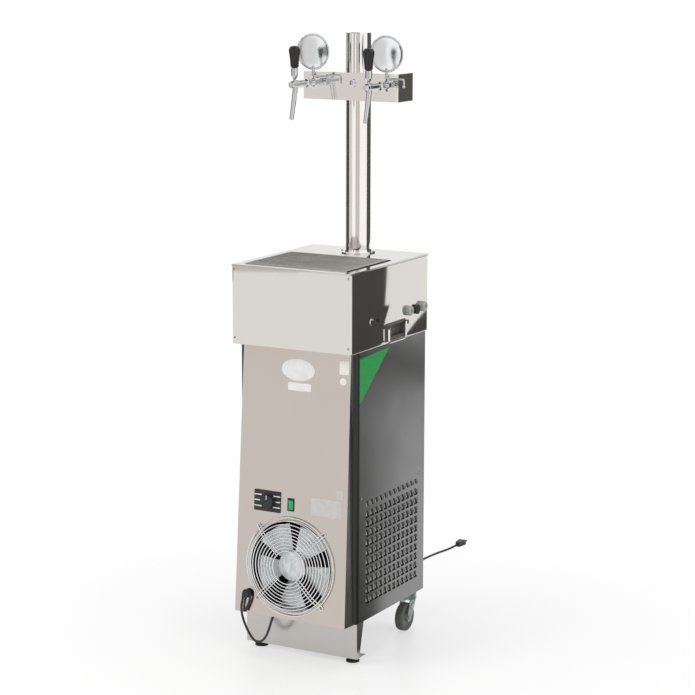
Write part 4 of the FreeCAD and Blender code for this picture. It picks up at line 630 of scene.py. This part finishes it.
shell = box_piece(mm(*HEAD_LOW), mm(*HEAD_HIGH))
select_where(shell, "edges", lambda edge: rise(edge) > NEAR)
bpy.ops.mesh.bevel(offset=HEAD_FOLD * MM, segments=FOLD_STEPS, profile=0.5)
leave_edit()
select_where(shell, "faces", faces_up_or_down)
bpy.ops.mesh.delete(type="FACE")
leave_edit()
fold_rim(HEAD_LOW[2], LIP)
leave_edit()
select_where(shell, "edges", lambda edge: not edge.is_boundary and lies_at(edge, HEAD_LOW[2])
             and any(abs(face.normal.z) < 0.5 for face in edge.link_faces))
bpy.ops.mesh.bevel(offset=HEM * MM, segments=HEM_STEPS, profile=0.5)
leave_edit()
fold_rim(HEAD_HIGH[2], SHEET + NECK_GAP)
bpy.ops.mesh.extrude_region_move(
    TRANSFORM_OT_translate={"value": (0, 0, (NECK_TOP - HEAD_HIGH[2]) * MM)})
leave_edit()
face_outward(shell)
apply_modifier(shell, "SOLIDIFY", thickness=SHEET * MM, offset=-1, use_even_offset=True)
for sign in SIDES.values():
    ends = sorted(sign * x for x in (DISH_HOLE[0][0], DISH_HOLE[1][0]))
    cut_with(shell, box_piece(mm(ends[0], *DISH_HOLE[0][1:]), mm(ends[1], *DISH_HOLE[1][1:])))
finish_piece(shell, "head_box", HEAD_STEEL, ["head_shell"], smooth_degrees=25)

# %% [markdown]
# ## Drip grille
# The lift-out grille is expanded metal: a sheet that is slit and pulled open, so it becomes one piece of
# diamonds with slanting strands. Poking every face of a grid and dissolving the grid's own edges leaves
# exactly those diamonds, and a wireframe modifier turns their edges into strands. A flat frame holds them.

# %% Drip grille
GRILLE_LOW, GRILLE_HIGH = (-160, -184, 1120.2), (160, 63, 1121.7)
DIAMOND_X, DIAMOND_Y = 20.0, 12.0
STRAND = 2.2
FRAME, FRAME_ROUND = 6, 0.4


def along_grid(edge):
    step = edge.verts[1].co - edge.verts[0].co
    return not edge.is_boundary and (abs(step.x) < NEAR or abs(step.y) < NEAR)


inner_x = GRILLE_HIGH[0] - FRAME / 2
inner_y = (GRILLE_HIGH[1] - GRILLE_LOW[1]) / 2 - FRAME / 2
middle = (mm(*GRILLE_LOW) + mm(*GRILLE_HIGH)) / 2
bpy.ops.mesh.primitive_grid_add(x_subdivisions=round(inner_x * 2 / DIAMOND_X),
                                y_subdivisions=round(inner_y * 2 / DIAMOND_Y), size=1, location=middle)
mesh_sheet = bpy.context.object
mesh_sheet.scale = (inner_x * 2 * MM, inner_y * 2 * MM, 1)
place_into_mesh(mesh_sheet)
select_where(mesh_sheet, "faces")
bpy.ops.mesh.poke()
leave_edit()
select_where(mesh_sheet, "edges", along_grid)
bpy.ops.mesh.dissolve_edges(use_verts=False)
leave_edit()
apply_modifier(mesh_sheet, "WIREFRAME", thickness=STRAND * MM, use_even_offset=False)
tray_frame = box_piece(mm(*GRILLE_LOW), mm(*GRILLE_HIGH))
select_where(tray_frame, "faces", faces_up_or_down)
bpy.ops.mesh.inset(thickness=FRAME * MM, use_individual=True)
bpy.ops.mesh.bridge_edge_loops()
leave_edit()
apply_modifier(tray_frame, "BEVEL", width=FRAME_ROUND * MM, segments=2, limit_method="ANGLE")
grille = joined([mesh_sheet, tray_frame])
finish_piece(grille, "drip_mesh", GRILLE_STEEL, ["drip_grille"], 30, "grille_body")

# %% [markdown]
# ## Fan guard
# The guard is bent and welded wire: rings that step back toward the cover at the rim, laid on four hairpins
# whose closed ends each hold a screw. Torus primitives make the rings. Each hairpin is one wire that runs
# out, round the screw and back, so its route is a list of points along one diagonal, turned four times.

# %% Fan guard
FAN_UP = 152
RING_FIRST, RING_STEP, RING_COUNT, FLAT_RINGS = 47, 9.3, 11, 8
RING_OUT, RING_FALL, RING_STEPS = 19.5, 14 / 3, 96
WIRE_MM = 1.5
HAIRPIN_HALF = 4.6
HAIRPIN = [(44, 17), (112.1, 17), (149, 2)]
HAIRPIN_TURNS = (45, 135, 225, 315)
BOW_STEPS = 8


def ring_out(index):
    return RING_OUT - RING_FALL * max(0, index - FLAT_RINGS + 1)


def hairpin_route(degrees):
    """Out along one side of a diagonal, round the screw and back along the other side."""
    turn = Matrix.Rotation(math.radians(degrees), 3, "Z")
    outward = [(reach, HAIRPIN_HALF, out) for reach, out in HAIRPIN]
    last_reach, last_out = HAIRPIN[-1]
    bow = [(last_reach + HAIRPIN_HALF * math.sin(t), HAIRPIN_HALF * math.cos(t), last_out)
           for t in (math.pi * step / BOW_STEPS for step in range(1, BOW_STEPS))]
    back = [(reach, -HAIRPIN_HALF, out) for reach, out in reversed(HAIRPIN)]
    return [tuple(turn @ Vector(point)) for point in outward + bow + back]


guard = []
for index in range(RING_COUNT):
    bpy.ops.mesh.primitive_torus_add(major_segments=RING_STEPS, minor_segments=8, minor_radius=WIRE_MM * MM,
                                     major_radius=(RING_FIRST + RING_STEP * index) * MM,
                                     location=mm(0, 0, ring_out(index)))
    place_into_mesh(bpy.context.object)
    guard.append(bpy.context.object)
for degrees in HAIRPIN_TURNS:
    guard.append(wire(hairpin_route(degrees), WIRE_MM))
guard_wires = moved(joined(guard), on_cover(0, FAN_UP))
finish_piece(guard_wires, "fan_guard_wires", GUARD_CHROME, ["fan_guard"], 60)

# %% [markdown]
# ## Screws
# Every visible screw is a pan head with a cross recess. One head is turned from an outline, the cross is cut
# with a boolean, and copies with their own mesh go where the screws are.

# %% Screws
PAN_HEAD = [(0, 2.2), (1.6, 2.1), (2.9, 1.6), (3.7, 0.8), (3.9, 0), (0, 0)]
CROSS_LONG, CROSS_WIDE, CROSS_DEEP = 3.6, 0.9, 1.3
GUARD_SCREW, FLANGE_SCREW, HEAD_SCREW, SIDE_SCREW = 1.5, 0.95, 0.8, 1.1
SCREW_TURN, SCREW_STEPS = 37, 20
LUG_OUT = 0.2


def cross_screw(size):
    """A pan head that faces +Z, with its underside at the origin."""
    head = lathe([(radius * size, height * size) for radius, height in PAN_HEAD], SCREW_STEPS)
    top = PAN_HEAD[0][1] * size
    for wide, long in ((CROSS_WIDE, CROSS_LONG), (CROSS_LONG, CROSS_WIDE)):
        half_x, half_y = wide / 2 * size, long / 2 * size
        cut_with(head, box_piece(mm(-half_x, -half_y, top - CROSS_DEEP * size), mm(half_x, half_y, top + 1)))
    return head


def screws_at(name, places, size, replaces=()):
    """One piece with a screw at each place, each turned differently."""
    pattern = cross_screw(size)
    heads = []
    for index, place in enumerate(places):
        turn = Matrix.Rotation(math.radians(SCREW_TURN * index), 4, "Z")
        heads.append(moved(copy_of(pattern), place @ turn))
    bpy.data.objects.remove(pattern)
    return finish_piece(joined(heads), name, ZINC, replaces, 40)


lug_reach = HAIRPIN[-1][0]
lug_places = [on_cover(lug_reach * math.cos(t), FAN_UP + lug_reach * math.sin(t), LUG_OUT)
              for t in map(math.radians, HAIRPIN_TURNS)]
screws_at("guard_screws", lug_places, GUARD_SCREW)

# %% [markdown]
# ## Castor wheels
# A cheap castor wheel is a grey rubber tyre moulded on a hub with a thin web. Both are turned: the tyre from
# an outline with rounded shoulders, the hub from the bore out along the web to the rim. Each outline is
# written for one face of the wheel and mirrored for the other.

# %% Castor wheels
WHEEL_X, WHEEL_Y, WHEEL_Z = 146, 194, 41.5
WHEEL_STEPS = 72
TYRE_HALF = [(30, 11), (35, 12), (38, 11.9), (40.2, 10.6), (41.3, 8), (41.5, 4)]
HUB_HALF = [(4.3, 13.8), (11.8, 13.8), (12.8, 12.8), (13.4, 7.2), (16, 6), (26, 6), (28, 7), (29, 9.5),
            (30.4, 10)]


def wheel_part(half, place):
    """Turns half an outline and its mirror image, and puts the ring at its place."""
    outline = half + [(radius, -out) for radius, out in reversed(half)]
    return moved(lathe(outline, WHEEL_STEPS, closed=True), place)


for side, sign in SIDES.items():
    place = at(sign * WHEEL_X, WHEEL_Y, WHEEL_Z, FACING_RIGHT)
    body = f"wheel_{side}_body"
    finish_piece(wheel_part(TYRE_HALF, place), f"castor_tyre_{side}", TYRE,
                 [f"castor_wheel_{side}"], 40, body)
    finish_piece(wheel_part(HUB_HALF, place), f"castor_hub_{side}", HUB_PLASTIC,
                 smooth_degrees=40, body=body)

# %% [markdown]
# ## Medallions
# Each medallion is a turned chrome cup on a stem, with a polished plate set into it. The plate is a shallow
# dome, so a dark card beside the camera shows in it as a soft crescent.

# %% Medallions
DISC_X, DISC_Y_BACK, DISC_Z = 118, 122, 1690
STEM_Y, STEM_BOTTOM, STEM_TOP, STEM_R = 118, 1621.3, 1650, 4
DISC_STEPS, STEM_FINE = 96, 6
CUP_OUTLINE = [(0, 0), (40, 0), (49, 1.2), (51.4, 3), (52, 5), (52, 6.6), (51.4, 7.6), (50.2, 8), (49, 7.4),
               (48.4, 6.2), (48.2, 4.4), (0, 4.4)]
PLATE_HIGH, PLATE_DOME = 9.8, 0.0027
PLATE_LOW, PLATE_RADII = 3.2, (0, 8, 16, 24, 30, 36, 41, 45, 47.5)
PLATE_OUTLINE = [(r, PLATE_HIGH - PLATE_DOME * r * r) for r in PLATE_RADII]
PLATE_OUTLINE += [(PLATE_RADII[-1], PLATE_LOW), (0, PLATE_LOW)]

for side, sign in SIDES.items():
    place = at(sign * DISC_X, DISC_Y_BACK, DISC_Z, FACING_FRONT)
    cup = moved(lathe(CUP_OUTLINE, DISC_STEPS), place)
    stem = wire([(sign * DISC_X, STEM_Y, z) for z in (STEM_BOTTOM, STEM_TOP)], STEM_R, STEM_FINE)
    finish_piece(joined([cup, stem]), f"medallion_cup_{side}", CHROME,
                 [f"medallion_{side}"], 40)
    plate = moved(lathe(PLATE_OUTLINE, DISC_STEPS), place)
    finish_piece(plate, f"medallion_plate_{side}", FACE_GLOSS, smooth_degrees=40)

# %% [markdown]
# ## Controls and labels
# The thermostat plate carries plain light bars beside its knob, and the knob a pointer line. The cover and
# side carry blank labels: thin films, so they are shallow boxes with rounded corners or flat ovals.

# %% Controls and labels
PLATE_X, PLATE_UP = -80.5, 329.5
BAR_OUT, BAR_HIGH, BAR_STEP, BAR_END = 2.0, 0.35, 16, 42
BAR_LONG, BAR_SHORT, BAR_HALF_WIDE, BAR_CORNER = 24, 18, 1.5, 0.8
POINTER, POINTER_HIGH, POINTER_CORNER = (-0.9, 7, 0.9, 19), 0.4, 0.4
KNOB_FACE = (-74, PLATE_UP, 20.1)
FILM_HIGH = 0.3
# Rating label, sticker, card label and square: low and high corner across and up, and the corners' round
COVER_FILMS = [((60, 306.5, 157, 356.5), 2), ((140, 361, 160, 386), 1), ((-25, 651, 48, 673), 3),
               ((137, 710, 166, 747), 1)]
OVAL_OUTLINE = [(0, FILM_HIGH), (52, FILM_HIGH), (52.5, 0.1), (52.5, 0), (0, 0)]
SPOT_OUTLINE = [(0, FILM_HIGH), (10, FILM_HIGH), (10.3, 0), (0, 0)]
OVAL_TALL_BY_WIDE = 61 / 105
OVAL_PLACE, SPOT_PLACE = (6, 709), (149, 690)
OVAL_STEPS, SPOT_STEPS = 72, 40
SIDE_FILM, SIDE_FILM_X = [(-157, 875), (17, 883), (-156, 749)], (SIDE_X + 0.1, SIDE_X + 0.4)
SIDE_FILM_FACES = [(0, 2, 1), (3, 4, 5), (0, 1, 4, 3), (1, 2, 5, 4), (2, 0, 3, 5)]


def film(corners, high, place, corner):
    """A thin label with rounded corners, lying at a place."""
    x, y, x_end, y_end = corners
    sheet = box_piece(mm(x, y, 0), mm(x_end, y_end, high))
    select_where(sheet, "edges", lambda edge: rise(edge) > WELD)
    bpy.ops.mesh.bevel(offset=corner * MM, segments=5)
    leave_edit()
    return moved(sheet, place)


bars = []
for sign in SIDES.values():
    for up in (-BAR_STEP, 0, BAR_STEP):
        long = BAR_LONG if up else BAR_SHORT
        start = sign * BAR_END - (long if sign > 0 else 0)
        bars.append(film((start, up - BAR_HALF_WIDE, start + long, up + BAR_HALF_WIDE), BAR_HIGH,
                         on_cover(PLATE_X, PLATE_UP, BAR_OUT), BAR_CORNER))
finish_piece(joined(bars), "thermostat_bars", MATT_LABEL)
pointer = film(POINTER, POINTER_HIGH, on_cover(*KNOB_FACE), POINTER_CORNER)
finish_piece(pointer, "knob_pointer", MATT_LABEL, body="knob_body")

rating, sticker, card_label, square = [film(corners, FILM_HIGH, on_cover(0, 0), corner)
                                       for corners, corner in COVER_FILMS]
oval = lathe(OVAL_OUTLINE, OVAL_STEPS)
oval.scale.y = OVAL_TALL_BY_WIDE
place_into_mesh(oval)
moved(oval, on_cover(*OVAL_PLACE))
spot = moved(lathe(SPOT_OUTLINE, SPOT_STEPS), on_cover(*SPOT_PLACE))
labels = joined([card_label, oval, square, spot])
finish_piece(labels, "cover_labels", MATT_LABEL)
finish_piece(joined([rating, sticker]), "rating_labels", CLEAR_LABEL)

points = [mm(x, y, z) for x in SIDE_FILM_X for y, z in SIDE_FILM]
side_film = mesh_piece(points, faces=SIDE_FILM_FACES)
face_outward(side_film)
finish_piece(side_film, "side_film", GREEN_LABEL, smooth_degrees=0)

# %% [markdown]
# ## Panel screws, couplings and small fittings
# The couplings are turned nuts with a knurl. A knurl is a ring of shallow flutes, so the nut's outline is
# spun with few steps and every other edge is pressed in. The collar and the bar's button are plain turnings.

# %% Panel screws, couplings and small fittings
FLANGE_SCREWS, FLANGE_TOP = ((-45, 45), (156, 180)), 1122.2
HEAD_SCREWS = ((-181, 181), (913, 1105.5))
SIDE_SCREWS_Y, SIDE_SCREWS_Z = (199, -143.5), 480
COUPLINGS_Y, PORT_Y, COUPLING_Z = (120, 206), -97, 971
NUT_BORE, NUT_NECK, NUT_BACK, NUT_R, NUT_OUT = 4.8, 8.4, -7, 14.0, 13.0
NUT_OUTLINE = [(NUT_BORE, NUT_BACK), (NUT_NECK, NUT_BACK), (NUT_NECK, 0), (NUT_R, 0), (NUT_R, 10.5),
               (12.8, 11.8), (9.5, NUT_OUT), (8.5, 11.5), (NUT_BORE, 11.5)]
FLUTES, FLUTE_PRESS, FLUTE_EDGE = 26, 0.94, 12.5
COLLAR_STEPS, BUTTON_STEPS = 40, 48
COLLAR_OUTLINE = [(5.6, 0), (9.5, 0), (9.5, 1.2), (8.6, 2.2), (5.6, 2.4)]
BUTTON_OUTLINE = [(0, 2.6), (5, 2.4), (9, 1.5), (10.6, 0.6), (11, 0), (0, 0)]
BUTTON_PLACE = (8.3, 123, 1605)

places = [at(x, y, FLANGE_TOP) for x in FLANGE_SCREWS[0] for y in FLANGE_SCREWS[1]]
screws_at("flange_screws", places, FLANGE_SCREW, ["panel_screws"])
places = [at(x, HEAD_LOW[1], z, FACING_FRONT) for x in HEAD_SCREWS[0] for z in HEAD_SCREWS[1]]
screws_at("head_screws", places, HEAD_SCREW)
places = [at(SIDE_X * sign, y, SIDE_SCREWS_Z, FACING_RIGHT if sign > 0 else FACING_LEFT)
          for sign in SIDES.values() for y in SIDE_SCREWS_Y]
screws_at("side_screws", places, SIDE_SCREW)


def knurled_nut():
    """A fluted ring nut that faces +Z, with a chamfered face and a bore."""
    nut = lathe(NUT_OUTLINE, FLUTES * 2, closed=True)
    for vertex in nut.data.vertices:
        step = round(math.atan2(vertex.co.y, vertex.co.x) / math.tau * FLUTES * 2)
        if math.hypot(vertex.co.x, vertex.co.y) > FLUTE_EDGE * MM and step % 2:
            vertex.co.x *= FLUTE_PRESS
            vertex.co.y *= FLUTE_PRESS
    return nut


nuts = [moved(knurled_nut(), at(HEAD_HIGH[0], y, COUPLING_Z, FACING_RIGHT)) for y in COUPLINGS_Y]
finish_piece(joined(nuts), "coupling_nuts", PALE_PLASTIC, ["inlet_couplings"], 30)
collar = lathe(COLLAR_OUTLINE, COLLAR_STEPS, closed=True)
finish_piece(moved(collar, at(HEAD_HIGH[0], PORT_Y, COUPLING_Z, FACING_RIGHT)), "port_collar",
             CHROME)
button = lathe(BUTTON_OUTLINE, BUTTON_STEPS)
finish_piece(moved(button, at(*BUTTON_PLACE, FACING_FRONT)), "bar_button", CHROME)

# %% [markdown]
# ## Vent hoods
# The side vents are louvres. The sheet above each slot is pressed outward, and swells from flush to a few
# millimetres proud at the slot's upper lip, so a row of hoods reads as bright slopes over dark gaps. One
# hood is modelled once and copied to every slot of both sides. A dust filter lies behind each field, so no
# daylight shows through from the far side.

# %% Vent hoods
HOOD_HALF_WIDE, HOOD_TALL, HOOD_OUT, HOOD_ROOT, HOOD_SHEET = 11.25, 15.0, 3.2, -0.2, 1.0
HOOD_COLUMNS, HOOD_ROWS = range(12), range(11)
SLOT_Y, SLOT_Z, SLOT_STEP_Y, SLOT_STEP_Z, SLOT_HIGH = -108, 173, 26.5, 27.6, 7
# How far out the hood swells at each distance in from its end, and at each share of its height
END_SWELL = [(0, 0.0), (1.6, 0.75), (4, 1.0)]
RISE_SWELL = [(0.0, 1.0), (0.35, 0.72), (0.7, 0.3), (1.0, 0.0)]
PANEL_SHEET, FILTER_DEEP = 2, 5
FILTER_FIELD = ((-128, 160), (200, 462))


def hood():
    """One louvre in its own frame: across X, up Y, out Z, its lip at the origin."""
    stations = [(inset - HOOD_HALF_WIDE, swell) for inset, swell in END_SWELL]
    stations += [(-x, swell) for x, swell in reversed(stations)]
    points = [mm(x, up * HOOD_TALL, HOOD_ROOT + (HOOD_OUT - HOOD_ROOT) * swell * share)
              for up, share in RISE_SWELL for x, swell in stations]
    wide = len(stations)
    faces = [(r * wide + i, r * wide + i + 1, (r + 1) * wide + i + 1, (r + 1) * wide + i)
             for r in range(len(RISE_SWELL) - 1) for i in range(wide - 1)]
    piece = mesh_piece(points, faces=faces)
    apply_modifier(piece, "SOLIDIFY", thickness=HOOD_SHEET * MM, offset=-1)
    return piece


pattern = hood()
for side, sign in SIDES.items():
    turn = Matrix(((0, 0, sign, 0), (1, 0, 0, 0), (0, 1, 0, 0), (0, 0, 0, 1)))
    hoods = []
    for column in HOOD_COLUMNS:
        for row in HOOD_ROWS:
            y = SLOT_Y + SLOT_STEP_Y * column
            z = SLOT_Z + SLOT_STEP_Z * row + SLOT_HIGH / 2
            hoods.append(moved(copy_of(pattern), at(SIDE_X * sign, y, z) @ turn))
    finish_piece(joined(hoods), f"vent_hoods_{side}", SIDE_ENAMEL, smooth_degrees=40)
bpy.data.objects.remove(pattern)

inside = SIDE_X - PANEL_SHEET
for side, sign in SIDES.items():
    ends = sorted(sign * x for x in (inside - FILTER_DEEP, inside))
    mat = box_piece(mm(ends[0], *FILTER_FIELD[0]), mm(ends[1], *FILTER_FIELD[1]), bevel=MM)
    finish_piece(mat, f"dust_filter_{side}", FILTER_FOAM, smooth_degrees=0)

# %% [markdown]
# ## Front corners of the cabinet
# The cabinet's front corners are rolled edges beside the cover, with painted shade and dark reflection:
# their enamel is darker than the sides'. Each is a thin strip bent round the corner: its section is a list
# of points along the bend, drawn upward and given a thickness.

# %% Front corners of the cabinet
CORNER_X, CORNER_Y, CORNER_R = 174, -163, 12.15
STRIP_LOW, STRIP_HIGH, STRIP_BACK, STRIP_SHEET = 124, 894, -157, 0.6
BEND_STEPS = 10

bend = [math.radians(90 * step / BEND_STEPS) for step in range(BEND_STEPS + 1)]
section = [(CORNER_X + CORNER_R * math.sin(t), CORNER_Y - CORNER_R * math.cos(t)) for t in bend]
section.append((CORNER_X + CORNER_R, STRIP_BACK))
count = len(section)
for side, sign in SIDES.items():
    points = [mm(sign * x, y, z) for z in (STRIP_LOW, STRIP_HIGH) for x, y in section]
    strip = mesh_piece(points, faces=[(i, i + 1, count + i + 1, count + i) for i in range(count - 1)])
    if sign < 0:
        strip.data.flip_normals()
    apply_modifier(strip, "SOLIDIFY", thickness=STRIP_SHEET * MM, offset=1)
    finish_piece(strip, f"corner_strip_{side}", CORNER_SHADE_ENAMEL, smooth_degrees=40)

# %% [markdown]
# ## Studio
# A pale floor, a white background and large soft lamps. Polished steel only looks like steel when it has
# something to mirror, so a studio sets black cards and lit grey screens outside the picture. They stand
# round the object here too, and a dark patch on the floor is a painted shadow of the object; all are seen by
# reflections only.

# %% Studio
FLOOR_COLOUR, FLOOR_ROUGH, FLOOR_GRAIN, FLOOR_DEEP = "#ebebea", 0.35, 4, 0.02
FELT_COLOUR, FELT_ROUGH, FELT_GRAIN, FELT_DEEP = "#4c4b48", 0.9, 3, 0.5
WHITE = (1, 1, 1, 1)
WORLD_AMBIENT = 0.55
BACKGROUND = 1.0
FLOOR_SIDE = 40
# The floor keeps its shadow near the object and turns to plain white farther out, so it has no horizon
FLOOR_LEAST_WHITE, FLOOR_NEAR, FLOOR_FAR = 0.55, 0.4, 1.2
# Where cards are seen from, in metres: the right wall's front edge and the column's foot
WALL_FRONT, COLUMN = (0.19, -0.037, 0), (0, 0.168, 0)
# Name, point seen from, angles filled, distance, heights of the edges, and the colour of a lit screen
CARDS = [
    ("card_right", WALL_FRONT, 90, 121.7, 2.6, -0.6, 2.6),
    ("card_right_high", COLUMN, 113, 150, 2.6, 0.78, 2.6),
    ("card_left_high", COLUMN, -128, -84, 2.8, 0.6, 2.6),
    ("screen_left", COLUMN, -84, -53, 2.0, 0.84, 2.4, "#d9d7d5"),
    ("screen_camera", COLUMN, -22, 14, 2.2, 0.84, 2.4, "#c9c7c6"),
    ("card_low_far", (0.19, 0.1, 0), 117, 152, 3.6, -0.3, 0.2),
    ("card_bar_end", (0.153, 0.167, 0), 114, 128, 1.5, 1.38, 1.62),
    ("card_medallions", (0, 0.118, 0), -42, -34, 1.5, 1.42, 1.9),
]
CEILING_CARD = ((-0.2, -0.6, 3.6), (0, 0, -1), 2.4, 1.6)
MIRRORED_WAY = Vector((2.84, 5.30, 0))
PATCH_WIDE, PATCH_LONG, PATCH_UP, PATCH_SEEN_FROM = 1.2, 2.7, 0.002, 0.05
# Name, place, what it lights, width, height and watts
LAMPS = [
    ("key_lamp", (-2.4, -3.2, 3.2), (0, 0, 0.9), 2.4, 2.4, 95),
    ("fill_lamp", (3.4, -1.6, 2.6), (0, 0, 0.8), 2.0, 2.6, 45),
    ("top_lamp", (0.2, 0.4, 4.4), (0, 0, 0), 2.6, 2.6, 60),
]


def show(tree, surface):
    """Makes a shader what the material shows."""
    tree.links.new(surface, tree.nodes["Material Output"].inputs["Surface"])


def white_where_seen(tree, plain, white):
    """The background to camera, glossy and transmission rays, and the plain light to others."""
    path = tree.nodes.new("ShaderNodeLightPath")
    seen = path.outputs["Is Camera Ray"]
    for ray in ("Is Glossy Ray", "Is Transmission Ray"):
        either = add_node(tree, "ShaderNodeMath", [("operation", "MAXIMUM")], Value=seen)
        tree.links.new(path.outputs[ray], either.inputs[1])
        seen = either.outputs[0]
    return mixed_surfaces(tree, seen, plain, white)


world = bpy.data.worlds.new("studio")
scene.world = world
world.use_nodes = True
sky = world.node_tree
ambient = sky.nodes["Background"]
ambient.inputs["Color"].default_value = WHITE
ambient.inputs["Strength"].default_value = WORLD_AMBIENT
backdrop = add_node(sky, "ShaderNodeBackground", [("Color", WHITE), ("Strength", BACKGROUND)])
sky.links.new(white_where_seen(sky, ambient.outputs[0], backdrop.outputs[0]),
              sky.nodes["World Output"].inputs["Surface"])

bpy.ops.mesh.primitive_plane_add(size=FLOOR_SIDE)
floor = bpy.context.object
floor.name = "studio_floor"
paper, tree, shader, place = new_finish("studio_floor_paper", FLOOR_COLOUR, FLOOR_ROUGH)
bumped(tree, shader, noise(tree, place, FLOOR_GRAIN), FLOOR_DEEP)
reach = add_node(tree, "ShaderNodeVectorMath", [("operation", "LENGTH")])
tree.links.new(place, reach.inputs[0])
white_share = ramp(tree, reach.outputs["Value"], FLOOR_LEAST_WHITE, 1, FLOOR_NEAR, FLOOR_FAR)
glow = add_node(tree, "ShaderNodeEmission", [("Strength", BACKGROUND)])
fading = mixed_surfaces(tree, white_share, shader.outputs[0], glow.outputs[0])
show(tree, white_where_seen(tree, shader.outputs[0], fading))
floor.data.materials.append(paper)


def black_card(name, centre, facing, width, height):
    """A black card that only reflections see."""
    bpy.ops.mesh.primitive_plane_add(size=1, location=centre)
    card = bpy.context.object
    card.name = name
    card.scale = (width, height, 1)
    card.rotation_euler = Vector(facing).to_track_quat("Z", "Y").to_euler()
    felt, tree, shader, place = new_finish(name + "_felt", FELT_COLOUR, FELT_ROUGH)
    bumped(tree, shader, noise(tree, place, FELT_GRAIN), FELT_DEEP)
    card.data.materials.append(felt)
    card.visible_camera = card.visible_shadow = card.visible_diffuse = False
    return card


def card_round(name, seen_from, from_degrees, to_degrees, away, low, high, glow=None):
    """A card that fills an angle, counted from the camera's direction; a glow makes it a lit screen."""
    half = math.radians(to_degrees - from_degrees) / 2
    way = math.atan2(EYE.y, EYE.x) + math.radians(from_degrees + to_degrees) / 2
    facing = Vector((math.cos(way), math.sin(way), 0))
    centre = Vector(seen_from) + facing * away
    centre.z = (low + high) / 2
    card = black_card(name, centre, -facing, 2 * away * math.tan(half), high - low)
    if glow:
        tree = card.active_material.node_tree
        lit = add_node(tree, "ShaderNodeEmission", [("Color", srgb(glow)), ("Strength", 1.0)])
        show(tree, lit.outputs[0])


def floor_card(name, start, way, width, length):
    """A dark patch on the floor, a painted shadow of the object that only reflections from above see, to the
    right of a line.
    """
    facing = way.normalized()
    right = Vector((facing.y, -facing.x, 0))
    centre = Vector(start) + facing * (length / 2) + right * (width / 2)
    card = black_card(name, (centre.x, centre.y, PATCH_UP), (0, 0, 1), width, length)
    card.rotation_euler = (0, 0, math.atan2(right.y, right.x))
    tree = card.active_material.node_tree
    path = tree.nodes.new("ShaderNodeLightPath")
    far = add_node(tree, "ShaderNodeMath", [("operation", "GREATER_THAN"), (1, PATCH_SEEN_FROM)])
    tree.links.new(path.outputs["Ray Length"], far.inputs[0])
    clear = tree.nodes.new("ShaderNodeBsdfTransparent")
    show(tree, mixed_surfaces(tree, far.outputs[0], clear.outputs[0],
                              tree.nodes["Principled BSDF"].outputs[0]))


def soft_lamp(name, place, target, width, height, watts):
    data = bpy.data.lights.new(name, "AREA")
    data.shape = "RECTANGLE"
    data.size, data.size_y = width, height
    data.energy = watts
    lamp = linked(name, data)
    lamp.visible_glossy = False
    lamp.matrix_world = looking(place, target)


for card in CARDS:
    card_round(*card)
black_card("card_ceiling", *CEILING_CARD)
# A painted shadow of the object on the floor, which the lower side panel mirrors
floor_card("painted_floor_shadow_right", WALL_FRONT, MIRRORED_WAY, PATCH_WIDE, PATCH_LONG)
for lamp in LAMPS:
    soft_lamp(*lamp)
scene.view_settings.view_transform = "Standard"
print("cards", len(CARDS) + 2, "lamps", len(LAMPS))

# %% [markdown]
# ## Finish
# The view layer is brought up to date at the end.

# %% Finish
bpy.context.view_layer.update()
